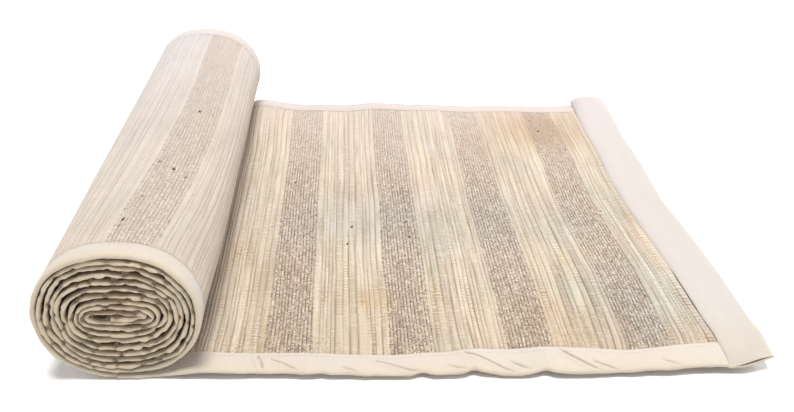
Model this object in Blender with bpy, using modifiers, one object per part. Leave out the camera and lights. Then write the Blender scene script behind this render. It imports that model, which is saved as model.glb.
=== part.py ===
# A long woven floor mat, rolled up from one end, with taped long edges and a
# wide cloth band over its free end. It lies on the plane z = 0 with its rolled
# part on the left (-X), its length along X and its width along Y.
import math

import bmesh
import bpy

# Driving dimensions in metres.
MAT_WIDTH = 0.610
MAT_THICKNESS = 0.0044
FLAT_LENGTH = 0.518         # from the middle of the roll to the sewn seam of the end band
TAPE_WIDTH = 0.027          # how far the edge tape lies over the mat, on both faces
TAPE_THICKNESS = 0.0009
BAND_WIDTH = 0.050
BAND_THICKNESS = 0.0008
CLEARANCE = 0.0003          # between pieces that touch
TONGUE_THICKNESS = 0.0020   # the pressed edge of the mat inside the tape and the band
TONGUE_LENGTH = 0.012       # how far the mat runs into the end band
TONGUE_INSET = 0.0032       # from the tape's outer fold to the edge of the mat
SHOULDER = 0.0006           # length of the step from the pressed edge to the full mat
TAPE_ROUNDING = 0.0015      # how far in from its fold the tape starts to round

# The weave: raised ribs run across the mat, and its dark stripes are woven flat between them.
# The stripes' middles are given from the seam, along the mat, as far as they show.
STRIPES = (0.059, 0.166, 0.272, 0.383, 0.502, 0.621, 0.740, 0.859)
STRIPE_WIDTH = 0.036
RIB_PITCH = 0.0082
RIB_HEIGHT = 0.00045        # on each face of the mat

# The roll: a wound oblong, round ended, whose flat top and bottom grow towards the core.
TURNS = 9.5
OUTER_RADIUS = 0.0613       # of the mat's middle surface, at the first turn
CORE_RADIUS = 0.0030
OUTER_FLAT = 0.0095         # half the length of the flat stretch
CORE_FLAT = 0.0220
CORE_DROP = 0.0022          # how far the inner end hangs below its stretch
ROLL_SKEW = 0.0040          # the roll's back end lies this much further left than its front end

# Steps along the mat: the outer half turns are drawn finer than the core.
OUTER_HALF_TURNS = 4
OUTER_STEPS = 12
INNER_STEPS = 6
FLAT_STEPS = 24
WOUND_FROM = 0.75           # share of the flat part after which it runs into the roll

# How the flat part lifts off the floor. Its lift starts a little way out of the roll.
FREE_FROM = 0.03            # as a share of the flat length
FREE_SPAN = 0.10
FRONT_WIDTH = 0.085         # width of the strip that lifts along each long edge
BACK_WIDTH = 0.150
LEVEL_WIDTH = 0.050         # its part that stays level, with the tape
FRONT_REST = 0.0016         # how far the front edge stands off the floor between its waves
NEAR_CURL = 0.0090          # the corners that curl up
NEAR_CURL_LENGTH = 0.060
NEAR_CURL_WIDTH = 0.070
FAR_CURL = 0.0045
FAR_CURL_LENGTH = 0.080
FAR_CURL_WIDTH = 0.150
NEAR_MOUTH = 0.0012         # how far the open ends of the band gape
FAR_MOUTH = 0.0075
MOUTH_REACH = 0.050

# The bends of the outline. Those of the two long edges are (where along the flat part, how far
# out, how long), as shares of the flat length and in metres. Those of the free end are (place
# across, how far out), straight between the places.
BEND_REACH = 0.150          # how far into the mat the bends of the long edges are felt
FRONT_BENDS = (
    (0.47, 0.0085, 0.19),
    (0.79, 0.0110, 0.16),
    (1.00, 0.0047, 0.12),
)
BACK_BENDS = (
    (0.97, -0.0050, 0.15),
)
END_BENDS = (
    (-0.305, -0.0020),
    (-0.280, 0.0035),
    (-0.255, 0.0045),
    (-0.220, 0.0045),
    (-0.155, 0.0035),
    (0.000, -0.0040),
    (0.155, 0.0010),
    (0.220, 0.0015),
    (0.255, 0.0020),
    (0.280, 0.0020),
    (0.305, 0.0010),
)

# Distances from a long edge at which the mat's faces break across its width.
BREAKS = (0.0, TAPE_WIDTH + CLEARANCE, 0.050, 0.085, 0.150, MAT_WIDTH / 2)
MOUTH_BREAKS = (0.012, 0.037)     # further ones of the band, where it gapes

# The waves of the two long edges: (where along the flat part, how high, how long), as shares
# of the flat length and in metres.
FRONT_WAVES = (
    (0.16, 0.0010, 0.05),
    (0.30, 0.0018, 0.06),
    (0.50, 0.0012, 0.05),
    (0.62, 0.0018, 0.04),
    (0.72, 0.0022, 0.05),
)
BACK_WAVES = (
    (0.13, 0.0135, 0.08),
    (0.29, 0.0050, 0.09),
    (0.45, 0.0062, 0.07),
    (0.58, 0.0036, 0.08),
    (0.80, 0.0009, 0.08),
)

# The band's section, over the top and back below: (share of its width from the seam,
# height, share of the gaping that it takes).
BAND_SECTION = (
    (0.000, MAT_THICKNESS, 0.55),
    (0.143, MAT_THICKNESS, 0.90),
    (0.310, MAT_THICKNESS, 1.00),
    (0.500, 0.0029, 1.00),
    (0.740, 0.0028, 0.85),
    (0.930, 0.0025, 0.35),
    (1.000, 0.0013, 0.00),
    (0.955, 0.0000, 0.00),
    (0.000, 0.0000, 0.00),
)

# Where the roll's middle stands, so that the whole mat is centred on the origin.
LEFT_REACH = (
    OUTER_FLAT + OUTER_RADIUS + MAT_THICKNESS / 2
    - (OUTER_RADIUS - CORE_RADIUS - CORE_FLAT + OUTER_FLAT) / TURNS / 4
    + ROLL_SKEW / 2
)
END_REACH = max(out for _, out in END_BENDS)
ROLL_X = (LEFT_REACH - FLAT_LENGTH - BAND_WIDTH - END_REACH) / 2
ROLL_Z = MAT_THICKNESS / 2 + OUTER_RADIUS
SEAM_X = ROLL_X + FLAT_LENGTH
FRONT_Y = -MAT_WIDTH / 2


def ease(share):
    """A smooth step from 0 to 1."""
    share = min(1.0, max(0.0, share))
    return share * share * (3 - 2 * share)


def bumps(place, humps):
    """The sum of soft humps, each (centre, height, reach), at a place."""
    return sum(high * math.exp(-(((place - centre) / reach) ** 2)) for centre, high, reach in humps)


FRONT_REACH = max(bumps(step / FLAT_STEPS, FRONT_BENDS) for step in range(FLAT_STEPS + 1))


def roll_section(turns):
    """Radius of the round ends and half length of the flats after some turns."""
    share = turns / TURNS
    radius = OUTER_RADIUS + (CORE_RADIUS - OUTER_RADIUS) * share
    flat = OUTER_FLAT + (CORE_FLAT - OUTER_FLAT) * share
    return radius, flat


def mat_path():
    """(x, z, wound) along the mat's middle, from the seam of the band to the core.

    wound is 0 on the flat part and 1 on the roll."""
    path = []
    for step in range(FLAT_STEPS + 1):
        share = step / FLAT_STEPS
        x = SEAM_X - (FLAT_LENGTH + OUTER_FLAT) * share
        path.append((x, MAT_THICKNESS / 2, ease((share - WOUND_FROM) / (1 - WOUND_FROM))))
    half_turns = round(2 * TURNS)
    for half in range(half_turns):
        side = -1 if half % 2 == 0 else 1
        steps = OUTER_STEPS if half < OUTER_HALF_TURNS else INNER_STEPS
        for step in range(steps + 1):
            if half == 0 and step == 0:
                continue
            turned = half + step / steps
            radius, flat = roll_section(turned / 2)
            angle = math.pi * turned
            x = ROLL_X + side * flat - radius * math.sin(angle)
            path.append((x, ROLL_Z - radius * math.cos(angle), 1.0))
    radius, flat = roll_section(TURNS)
    path.append((ROLL_X + flat, ROLL_Z + radius - CORE_DROP, 1.0))
    return path


def normals_of(path):
    """The direction of the mat's upper face at each point, which is inwards on the roll."""
    normals = []
    for index in range(len(path)):
        before = path[max(index - 1, 0)]
        after = path[min(index + 1, len(path) - 1)]
        along_x = after[0] - before[0]
        along_z = after[1] - before[1]
        length = math.hypot(along_x, along_z)
        normals.append((along_z / length, -along_x / length))
    return normals


def fade(from_edge, reach, level=0.0):
    """The share of an edge's lift left some way in, straight between the breaks.

    It is whole over a level strip along the edge and gone at the reach."""
    for near, far in zip(BREAKS, BREAKS[1:]):
        if from_edge <= far:
            low = ease((reach - near) / (reach - level))
            high = ease((reach - far) / (reach - level))
            return low + (high - low) * (from_edge - near) / (far - near)
    return 0.0


def lift(x, y):
    """How far the flat part stands off the floor at a place."""
    along = (x - ROLL_X) / FLAT_LENGTH
    from_front = y - FRONT_Y
    from_back = MAT_WIDTH - from_front
    from_end = SEAM_X + BAND_WIDTH - x
    height = (FRONT_REST + bumps(along, FRONT_WAVES)) * fade(from_front, FRONT_WIDTH, LEVEL_WIDTH)
    height += bumps(along, BACK_WAVES) * fade(from_back, BACK_WIDTH, LEVEL_WIDTH)
    height += NEAR_CURL * ease(1 - from_end / NEAR_CURL_LENGTH) * fade(from_front, NEAR_CURL_WIDTH)
    height += FAR_CURL * ease(1 - from_end / FAR_CURL_LENGTH) * fade(from_back, FAR_CURL_WIDTH)
    return height * ease((along - FREE_FROM) / FREE_SPAN)


def end_bend(y):
    """How far the free end lies out at a place across it."""
    for (near, low), (far, high) in zip(END_BENDS, END_BENDS[1:]):
        if y <= far:
            return low + (high - low) * max(0, y - near) / (far - near)
    return END_BENDS[-1][1]


def spread(x, y):
    """Where a place of a straight-sided mat lies in the bent outline, which is centred."""
    along = (x - ROLL_X) / FLAT_LENGTH
    front = bumps(along, FRONT_BENDS) * fade(y - FRONT_Y, BEND_REACH)
    back = bumps(along, BACK_BENDS) * fade(MAT_WIDTH - y + FRONT_Y, BEND_REACH)
    return x + end_bend(y) * ease(2 * along - 1), y - front + back + FRONT_REACH / 2


def on_mat(point, normal, y, off_middle):
    """A point off_middle above the mat's middle surface, at a step along it and a place across."""
    x, z, wound = point
    height = lift(x, y) if wound < 1 else 0
    if wound < 1:
        bent_x, bent_y = spread(x, y)
    else:
        bent_x, bent_y = x, y + FRONT_REACH / 2
    return (
        bent_x - wound * ROLL_SKEW * y / MAT_WIDTH + off_middle * normal[0],
        bent_y,
        z + off_middle * normal[1] + height,
    )


def material(name, colour, roughness):
    made = bpy.data.materials.new(name)
    made.use_nodes = True
    shader = made.node_tree.nodes["Principled BSDF"]
    shader.inputs["Base Color"].default_value = (*colour, 1)
    shader.inputs["Roughness"].default_value = roughness
    shader.inputs["Metallic"].default_value = 0
    return made


def cloth(name, rows, thickness, offset, finish, pressed=None):
    """A sheet through rows of points, given its thickness by Solidify.

    pressed holds the share of the thickness at each point, where it isn't whole."""
    shape = bmesh.new()
    bmesh.ops.create_grid(shape, x_segments=len(rows[0]) - 1, y_segments=len(rows) - 1, size=1)
    shape.verts.ensure_lookup_table()
    points = [point for row in rows for point in row]
    for vert, point in zip(shape.verts, points):
        vert.co = point
    mesh = bpy.data.meshes.new(name)
    shape.to_mesh(mesh)
    shape.free()
    piece = bpy.data.objects.new(name, mesh)
    mesh.materials.append(finish)
    wall = piece.modifiers.new("Thickness", "SOLIDIFY")
    wall.thickness = thickness
    wall.offset = offset
    wall.use_even_offset = True
    if pressed:
        group = piece.vertex_groups.new(name="share_of_thickness")
        for index, share in enumerate(share for row in pressed for share in row):
            group.add([index], share, "REPLACE")
        wall.vertex_group = group.name
    return piece


def rib_stations():
    """(distance from the seam, share of the thickness) at the ribs' grooves and crests."""
    groove = 1 - 2 * RIB_HEIGHT / MAT_THICKNESS
    ends = [0.0]
    for middle in STRIPES:
        ends += [middle - STRIPE_WIDTH / 2, middle + STRIPE_WIDTH / 2]
    stations = []
    for start, end in zip(ends[0::2], ends[1::2]):
        ribs = round((end - start) / RIB_PITCH)
        for half_rib in range(2 * ribs + 1):
            share = 1 if half_rib % 2 else groove
            stations.append((start + (end - start) * half_rib / ribs / 2, share))
    stations.append((ends[-1], groove))
    stations.append((ends[-1] + RIB_PITCH / 2, 1))
    return stations


def rib_share(distance, stations):
    """The share of the mat's thickness at a distance from the seam."""
    for (near, low), (far, high) in zip(stations, stations[1:]):
        if near <= distance <= far:
            return low + (high - low) * (distance - near) / (far - near)
    return 1


def ribbed(rows, reached):
    """Rows along the mat with the ribs' own added between them, and each row's rib share."""
    stations = rib_stations()
    finer = []
    shares = []
    for index, row in enumerate(rows):
        finer.append(row)
        shares.append(rib_share(reached[index], stations))
        if index + 1 == len(rows):
            break
        step = reached[index + 1] - reached[index]
        for distance, share in stations:
            part = (distance - reached[index]) / step
            if SHOULDER < part * step < step - SHOULDER:
                finer.append([
                    tuple(a + (b - a) * part for a, b in zip(here, there))
                    for here, there in zip(row, rows[index + 1])
                ])
                shares.append(share)
    return finer, shares


def mat_body(path, normals, finish):
    """The woven mat, with its edges pressed thin where the tapes and the band hold them."""
    thin = TONGUE_THICKNESS / MAT_THICKNESS
    half = MAT_WIDTH / 2
    inwards = [(TONGUE_INSET, thin), (BREAKS[1], thin), (BREAKS[1] + SHOULDER, 1)]
    inwards += [(from_edge, 1) for from_edge in BREAKS[2:-1]]
    across = [(from_edge - half, share) for from_edge, share in inwards]
    across += [(half - from_edge, share) for from_edge, share in reversed(inwards)]
    rows = []
    pressed = []
    for length in (TONGUE_LENGTH, SHOULDER):
        end = (SEAM_X + length, MAT_THICKNESS / 2, 0.0)
        rows.append([on_mat(end, (0, 1), y, 0) for y, _ in across])
        pressed.append([thin for _ in across])
    reached = [0.0]
    for here, there in zip(path, path[1:]):
        reached.append(reached[-1] + math.dist(here[:2], there[:2]))
    plain = [[on_mat(point, normal, y, 0) for y, _ in across] for point, normal in zip(path, normals)]
    finer, shares = ribbed(plain, reached)
    rows += finer
    pressed += [[share if share == thin else share * rib for _, share in across] for rib in shares]
    return cloth("mat_body", rows, MAT_THICKNESS, 0, finish, pressed)


def edge_tape(name, side, path, normals, finish):
    """The tape folded over a long edge: side is -1 for the front edge and 1 for the back."""
    fold = MAT_WIDTH / 2
    half = MAT_THICKNESS / 2
    section = (
        (fold - TAPE_WIDTH, half), (fold - TAPE_ROUNDING, half), (fold, 0),
        (fold - TAPE_ROUNDING, -half), (fold - TAPE_WIDTH, -half),
    )
    if side < 0:
        section = section[::-1]
    rows = []
    for point, normal in zip(path, normals):
        rows.append([on_mat(point, normal, side * y, off) for y, off in section])
    return cloth(name, rows, TAPE_THICKNESS, -1, finish)


def end_band(finish):
    """The wide band folded over the free end: a flat sleeve, open at both ends."""
    start = SEAM_X + SHOULDER + CLEARANCE
    half = MAT_WIDTH / 2
    from_edges = sorted(BREAKS[:-1] + MOUTH_BREAKS)
    places = [from_edge - half for from_edge in from_edges]
    places += [half - from_edge for from_edge in reversed(from_edges)]
    rows = []
    for y in places:
        near = 1 - (y + half) / MOUTH_REACH
        far = 1 - (half - y) / MOUTH_REACH
        gape = NEAR_MOUTH * ease(near) + FAR_MOUTH * ease(far)
        row = []
        for out, height, share in BAND_SECTION:
            x = start + out * (BAND_WIDTH - SHOULDER - CLEARANCE)
            bent_x, bent_y = spread(x, y)
            row.append((bent_x, bent_y, height + share * gape + lift(x, y)))
        rows.append(row)
    return cloth("end_band", rows, BAND_THICKNESS, -1, finish)


def main():
    for old in list(bpy.data.objects):
        bpy.data.objects.remove(old)
    weave = material("striped_weave", (0.72, 0.64, 0.52), 0.9)
    tape_cloth = material("tape_cotton", (0.86, 0.80, 0.68), 0.85)
    band_cloth = material("band_cotton", (0.88, 0.82, 0.74), 0.85)
    path = mat_path()
    normals = normals_of(path)
    pieces = (
        mat_body(path, normals, weave),
        edge_tape("front_edge_tape", -1, path, normals, tape_cloth),
        edge_tape("back_edge_tape", 1, path, normals, tape_cloth),
        end_band(band_cloth),
    )
    rolled_mat = bpy.data.collections.new("rolled_mat")
    bpy.context.scene.collection.children.link(rolled_mat)
    for piece in pieces:
        rolled_mat.objects.link(piece)


main()
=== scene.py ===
import math

import bmesh
import bpy
import numpy as np
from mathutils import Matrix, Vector


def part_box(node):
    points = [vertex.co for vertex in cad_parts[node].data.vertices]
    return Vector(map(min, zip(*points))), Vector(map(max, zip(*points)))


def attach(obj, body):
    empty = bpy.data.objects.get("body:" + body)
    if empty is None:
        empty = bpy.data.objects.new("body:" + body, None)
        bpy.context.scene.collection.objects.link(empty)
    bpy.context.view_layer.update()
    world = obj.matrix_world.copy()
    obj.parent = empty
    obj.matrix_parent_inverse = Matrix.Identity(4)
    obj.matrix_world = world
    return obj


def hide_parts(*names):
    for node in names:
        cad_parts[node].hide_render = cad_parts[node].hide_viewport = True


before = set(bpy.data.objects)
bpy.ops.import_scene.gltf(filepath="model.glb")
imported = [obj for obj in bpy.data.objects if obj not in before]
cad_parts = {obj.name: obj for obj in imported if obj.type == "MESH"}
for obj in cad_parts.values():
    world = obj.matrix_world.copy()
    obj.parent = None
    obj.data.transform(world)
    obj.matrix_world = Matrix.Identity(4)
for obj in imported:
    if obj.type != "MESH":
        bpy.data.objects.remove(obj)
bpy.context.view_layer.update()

# Everything is in metres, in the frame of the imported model.
mat = {
    "width": 0.610,
    "flatLength": 0.518,      # roll's middle to the band's seam
    "bandWidth": 0.050,
    "endReach": 0.0045,       # how far the free end bends out
    "pitch": 0.0044,          # thickness of the mat in the flat part
    "turns": 9.5,
    "outerRadius": 0.0613,
    "coreRadius": 0.0030,
    "outerFlat": 0.0095,      # half of the straight stretch of the outer turn
    "coreFlat": 0.0220,       # the same of the inner turn
    "skew": 0.0040,           # the roll's back end lies this much further left
    "woundFrom": 0.75,        # share of the flat part where that begins
    "underBand": 0.045,       # how far the mat reaches under the band
    "turnSteps": 720,         # points in one turn of its course
    "courseStep": 0.0004,
}
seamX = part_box("end_band")[1][0] - mat["bandWidth"] - mat["endReach"]
rollX = seamX - mat["flatLength"]
rollZ = mat["pitch"] / 2 + mat["outerRadius"]
half = mat["width"] / 2


def smooth(t):
    t = np.clip(t, 0.0, 1.0)
    return t * t * (3 - 2 * t)


def hump(place, centre, reach):
    return np.exp(-(((place - centre) / reach) ** 2))


def softNoise(values, period, seed, octaves=2):
    # smooth noise in about -1 to 1 along one direction, for arrays of any shape
    total = np.zeros(np.shape(values))
    for octave in range(octaves):
        knots = np.random.default_rng(seed + 101 * octave).uniform(-1, 1, 4096)
        place = np.asarray(values) / (period / 2 ** octave) + 512
        low = np.floor(place).astype(int)
        part = smooth(place - low)
        total += (knots[low % 4096] * (1 - part) + knots[(low + 1) % 4096] * part) / 2 ** octave
    return total / 1.5


def patchNoise(along, across, stepAlong, stepAcross, seed):
    # smooth noise in -1 to 1 over two directions
    knots = np.random.default_rng(seed).uniform(-1, 1, (512, 512))
    a, b = along / stepAlong + 64, across / stepAcross + 64
    i, j = np.floor(a).astype(int), np.floor(b).astype(int)
    p, q = smooth(a - i), smooth(b - j)
    i, j, nextI, nextJ = i % 512, j % 512, (i + 1) % 512, (j + 1) % 512
    low = knots[i, j] * (1 - q) + knots[i, nextJ] * q
    high = knots[nextI, j] * (1 - q) + knots[nextI, nextJ] * q
    return low * (1 - p) + high * p


# The course of the mat: from beyond the seam along the floor, round into the roll, and its inner end folded
# back on itself; places of that end are from the roll's middle
innerEnd = (
    (0.0045, 0.0026), (0.0100, 0.0020), (0.0150, 0.0021), (0.0185, 0.0023), (0.0208, 0.0016),
    (0.0216, 0.0002), (0.0208, -0.0013), (0.0185, -0.0021), (0.0140, -0.0021), (0.0080, -0.0026),
    (0.0020, -0.0021), (-0.0040, -0.0025), (-0.0095, -0.0019),
)


def smoothLine(points, steps):
    points = np.array(points)
    padded = np.vstack([2 * points[0] - points[1], points, 2 * points[-1] - points[-2]])
    out = []
    for k in range(1, len(padded) - 2):
        before, start, end, after = padded[k - 1:k + 3]
        for t in np.arange(0, 1, 1 / steps):
            a = 2 * start
            b = end - before
            c = 2 * before - 5 * start + 4 * end - after
            d = -before + 3 * start - 3 * end + after
            out.append(0.5 * (a + b * t + c * t ** 2 + d * t ** 3))
    return np.array(out + [points[-1]])


def layCourse():
    count = 600
    x = list(np.linspace(seamX + mat["underBand"], rollX - mat["outerFlat"], count))
    z = [mat["pitch"] / 2] * count
    turned = [0.0] * count
    for part in range(1, int(mat["turns"] * mat["turnSteps"]) + 1):
        turns = part / mat["turnSteps"]
        share = turns / mat["turns"]
        radius = mat["outerRadius"] + (mat["coreRadius"] - mat["outerRadius"]) * share
        flat = mat["outerFlat"] + (mat["coreFlat"] - mat["outerFlat"]) * share
        angle = 2 * math.pi * turns
        # the straight stretches at top and bottom run smoothly into the round ends
        side = -math.tanh(2.2 * math.sin(angle)) / math.tanh(2.2)
        x.append(rollX + side * flat - radius * math.sin(angle))
        z.append(rollZ - radius * math.cos(angle))
        turned.append(turns)
    tail = smoothLine([(x[-1] - rollX, z[-1] - rollZ)] + list(innerEnd), 12)[1:]
    x += list(rollX + tail[:, 0])
    z += list(rollZ + tail[:, 1])
    turned += list(mat["turns"] + np.arange(len(tail)) / len(tail))
    x, z, turned = np.array(x), np.array(z), np.array(turned)
    reach = np.concatenate([[0], np.cumsum(np.hypot(np.diff(x), np.diff(z)))]) - mat["underBand"]
    even = np.arange(reach[0], reach[-1], mat["courseStep"])
    return {
        "s": even, "x": np.interp(even, reach, x), "z": np.interp(even, reach, z),
        "turned": np.interp(even, reach, turned),
    }


course = layCourse()
matLength = float(course["s"][-1])
flatEnd = mat["flatLength"] + mat["outerFlat"]
print("mat length from the seam", round(matLength, 3))

# How loosely both ends of the roll are wound: straight runs between kinks
windLook = {
    "sharedKinks": 0.0019,    # corners that neighbouring turns have in common
    "sharedCorners": 11,      # in one turn
    "sharedTurns": 2.3,       # turns over which they change
    "ownKinks": 0.0012,       # of each turn by itself, at top and bottom
    "kinkRuns": (0.008, 0.030),
    "endReach": 0.045,        # how far into the roll they go
    "nearNarrower": 0.0030,   # how much narrower the roll's near end is on its right side
}


def windLoosely(seed):
    w = windLook
    rng = np.random.default_rng(seed)
    s = course["s"]
    turned = course["turned"]
    places, values = [flatEnd], [0.0]
    while places[-1] < matLength:
        places.append(places[-1] + rng.uniform(*w["kinkRuns"]))
        values.append(rng.uniform(-1, 1) * rng.choice([0.4, 0.8, 1.0]))
    own = np.interp(s, places, values) * (0.45 + 0.55 * np.abs(np.cos(2 * np.pi * turned)))
    count = w["sharedCorners"]
    corners = np.sort((np.arange(count) + rng.uniform(0.1, 0.9, count)) / count)
    levels = int(mat["turns"] / w["sharedTurns"]) + 3
    lines = np.array([
        np.interp(turned % 1, corners, rng.uniform(-1, 1, count), period=1) for _ in range(levels)
    ])
    place = turned / w["sharedTurns"]
    low = np.minimum(np.floor(place).astype(int), levels - 2)
    part = place - low
    columns = np.arange(len(s))
    shared = lines[low, columns] * (1 - part) + lines[low + 1, columns] * part
    line = own * w["ownKinks"] * smooth((turned - 0.75) / 0.8)
    line = line + shared * w["sharedKinks"] * smooth((turned - 0.55) / 1.6) * smooth((9.9 - turned) / 0.8)
    return np.convolve(line, np.ones(5) / 5, mode="same")


looseness = {-1: windLoosely(11), 1: windLoosely(12)}

# How the flat part lifts and how its outline bends. Places along the front edge are from the seam,
# those along the back edge shares of the flat part.
flatLook = {
    "freeFrom": 0.03, "freeSpan": 0.10,
    "frontWidth": 0.085, "backWidth": 0.150, "levelWidth": 0.035,
    "frontLift": ((-0.050, 0.0060), (-0.014, 0.0060), (0.004, 0.0062), (0.022, 0.0060), (0.045, 0.0056),
                  (0.067, 0.0048), (0.090, 0.0030), (0.112, 0.0036), (0.134, 0.0038), (0.155, 0.0052),
                  (0.177, 0.0016), (0.199, 0.0014), (0.219, 0.0048), (0.242, 0.0026), (0.263, 0.0036),
                  (0.285, 0.0020), (0.328, 0.0033), (0.370, 0.0039), (0.413, 0.0040), (0.438, 0.0051)),
    "frontBend": ((-0.052, 0.0040), (-0.040, 0.0075), (-0.028, 0.0105), (-0.014, 0.0120), (0.022, 0.0120),
                  (0.067, 0.0136), (0.112, 0.0139), (0.155, 0.0121), (0.199, 0.0095), (0.242, 0.0088),
                  (0.285, 0.0090), (0.370, 0.0059), (0.438, 0.0040), (0.500, 0.0005)),
    "frontHigher": 0.0004, "frontFurther": 0.0022,
    "nearCurl": (0.0066, 0.050, 0.060),    # how high, and its reach along and across
    "farCurl": (0.0072, 0.080, 0.130),
    "backWaves": ((0.13, 0.0135, 0.08), (0.29, 0.0050, 0.09), (0.45, 0.0062, 0.07), (0.58, 0.0036, 0.08),
                  (0.80, 0.0009, 0.08)),
    "backBend": (0.97, 0.0050, 0.15),
    "bendReach": 0.150,
    "endBends": ((-0.305, -0.0056), (-0.285, -0.0056), (-0.255, -0.0020), (-0.220, 0.0020), (-0.155, 0.0033),
                 (0.000, -0.0040), (0.155, 0.0010), (0.220, 0.0015), (0.280, 0.0020), (0.305, 0.0010)),
    # the seam's own bends beside those
    "seamBends": ((-0.305, 0.0044), (-0.278, 0.0048), (-0.235, 0.0026), (-0.180, 0.0003), (-0.130, -0.0012),
                  (-0.060, -0.0012), (0.020, -0.0010), (0.050, -0.0030), (0.066, -0.0034), (0.095, -0.0014),
                  (0.140, -0.0014), (0.220, -0.0012), (0.305, 0.0)),
    # the front tape's sewn edge: (from the seam, further in than elsewhere)
    "sewnEdge": ((0.000, 0.0010), (0.022, 0.0005), (0.045, -0.0010), (0.070, -0.0024), (0.090, 0.0),
                 (0.112, 0.0026), (0.150, 0.0030), (0.177, 0.0036), (0.199, 0.0034), (0.242, -0.0012),
                 (0.285, -0.0028), (0.328, -0.0038), (0.370, -0.0016), (0.438, -0.0024), (0.470, -0.0004),
                 (0.560, -0.0004), (0.650, -0.0054), (0.740, -0.0064), (0.860, -0.0056), (0.940, 0.0)),
    "sewnIn": 0.0278, "sewnReach": 0.012,  # where that edge lies, in from the fold, and how far it draws
    "unevenness": 0.0006,
}
centreY = 0.00586             # half of how far the front edge bends out


def readTable(table, place):
    # a value between the places of a table, with soft corners
    places, values = zip(*table)
    return sum(np.interp(place + shift, places, values) for shift in (-0.008, 0.0, 0.008)) / 3


def liftAt(x, y):
    # height of the flat part's underside above the floor; y is from the mat's middle
    f = flatLook
    along = (x - rollX) / mat["flatLength"]
    fromFront, fromBack = y + half, half - y
    fromEnd = seamX + mat["bandWidth"] - x
    front = smooth((f["frontWidth"] - fromFront) / (f["frontWidth"] - f["levelWidth"]))
    back = smooth((f["backWidth"] - fromBack) / (f["backWidth"] - f["levelWidth"]))
    waves = sum(high * hump(along, centre, reach) for centre, high, reach in f["backWaves"])
    height = (readTable(f["frontLift"], seamX - x) + f["frontHigher"]) * front + waves * back
    for (high, length, width), fromEdge in ((f["nearCurl"], fromFront), (f["farCurl"], fromBack)):
        height = height + high * smooth(1 - fromEnd / length) * smooth(1 - fromEdge / width)
    return height * smooth((along - f["freeFrom"]) / f["freeSpan"])


def bowed(x, y):
    f = flatLook
    along = (x - rollX) / mat["flatLength"]
    centre, drawn, reach = f["backBend"]
    further = f["frontFurther"] * smooth(2 * along)
    front = (readTable(f["frontBend"], seamX - x) + further) * smooth(1 - (y + half) / f["bendReach"])
    back = drawn * hump(along, centre, reach) * smooth(1 - (half - y) / f["bendReach"])
    atSeam = readTable(f["seamBends"], y) * hump(x, seamX, 0.028)
    return x + readTable(f["endBends"], y) * smooth(2 * along - 1) + atSeam, y - front - back + centreY


# How far cords and stripes are shifted along the roll's outer turn, and between which places from the seam
windSkew = {
    "at": 0.0322, "askew": 0.0236, "bow": -0.147,
    "from": 0.52, "to": 0.70, "backFrom": 0.95, "backTo": 1.20,
}


def skewed(along, across):
    # cords and stripes lie further along on the roll's outer turn, and more so at its back end
    w = windSkew
    rises = smooth((along - w["from"]) / (w["to"] - w["from"]))
    falls = smooth((w["backTo"] - along) / (w["backTo"] - w["backFrom"]))
    bow = w["bow"] * np.minimum(across, 0.2) ** 2
    return along + (w["at"] + w["askew"] * across + bow) * rises * falls


def onMat(along, across, off):
    # world points at distances along from the seam, places across and heights off above the mat's middle
    step = 0.0012
    f = flatLook
    across = across + readTable(f["sewnEdge"], along) * hump(across + half, f["sewnIn"], f["sewnReach"])
    x = np.interp(along, course["s"], course["x"])
    z = np.interp(along, course["s"], course["z"])
    dx = np.interp(along + step, course["s"], course["x"]) - np.interp(along - step, course["s"], course["x"])
    dz = np.interp(along + step, course["s"], course["z"]) - np.interp(along - step, course["s"], course["z"])
    length = np.maximum(np.hypot(dx, dz), 1e-9)
    wound = smooth((along / flatEnd - mat["woundFrom"]) / (1 - mat["woundFrom"]))
    for side in (-1, 1):
        near = hump(np.maximum(0, half - side * across), 0, windLook["endReach"])
        off = off + np.interp(along, course["s"], looseness[side]) * near
    inside = smooth((half - np.abs(across)) / 0.03)
    patches = 1 + patchNoise(along, across, 0.07, 0.09, 21)
    off = off + f["unevenness"] * inside * (1 - 0.3 * wound) * patches
    flat = along < flatEnd
    bowX, bowY = bowed(x, across)
    bowX, bowY = np.where(flat, bowX, x), np.where(flat, bowY, across + centreY)
    turned = np.interp(along, course["s"], course["turned"])
    onRight = smooth((x - rollX) / 0.06) * smooth(turned / 0.2)
    bowX = bowX - windLook["nearNarrower"] * onRight * smooth((-across - 0.15) / 0.15)
    height = z - off * dx / length + np.where(flat, liftAt(x, across), 0.0)
    return np.stack([
        bowX - wound * mat["skew"] * across / mat["width"] + off * dz / length,
        bowY,
        np.maximum(height, 0.0001),
    ], axis=-1)


def placeObject(name, data):
    made = bpy.data.objects.new(name, data)
    bpy.context.scene.collection.objects.link(made)
    return made


def intoMesh(name, bm):
    mesh = bpy.data.meshes.new(name)
    bm.to_mesh(mesh)
    bm.free()
    return mesh


def keepOffFloor(made, gap):
    for vert in made.data.vertices:
        vert.co.z = max(vert.co.z, gap)


def gridMesh(name, grid):
    # a closed tube of quads through rows of points; its ends are closed by strips of quads
    rows, columns = grid.shape[:2]
    index = np.arange(rows * columns).reshape(rows, columns)
    following = np.roll(index, -1, axis=1)
    quads = np.stack([index[:-1], following[:-1], following[1:], index[1:]], axis=-1).reshape(-1, 4).tolist()
    for ring in (index[0], index[-1]):
        for k in range(columns // 2 - 1):
            corners = (ring[k], ring[k + 1], ring[columns - 2 - k], ring[columns - 1 - k])
            quads.append([int(corner) for corner in corners])
    mesh = bpy.data.meshes.new(name)
    mesh.from_pydata(grid.reshape(-1, 3).tolist(), [], quads)
    mesh.update()
    bm = bmesh.new()
    bm.from_mesh(mesh)
    bmesh.ops.recalc_face_normals(bm, faces=bm.faces)
    bm.to_mesh(mesh)
    bm.free()
    mesh.shade_smooth()
    return placeObject(name, mesh)


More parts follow.
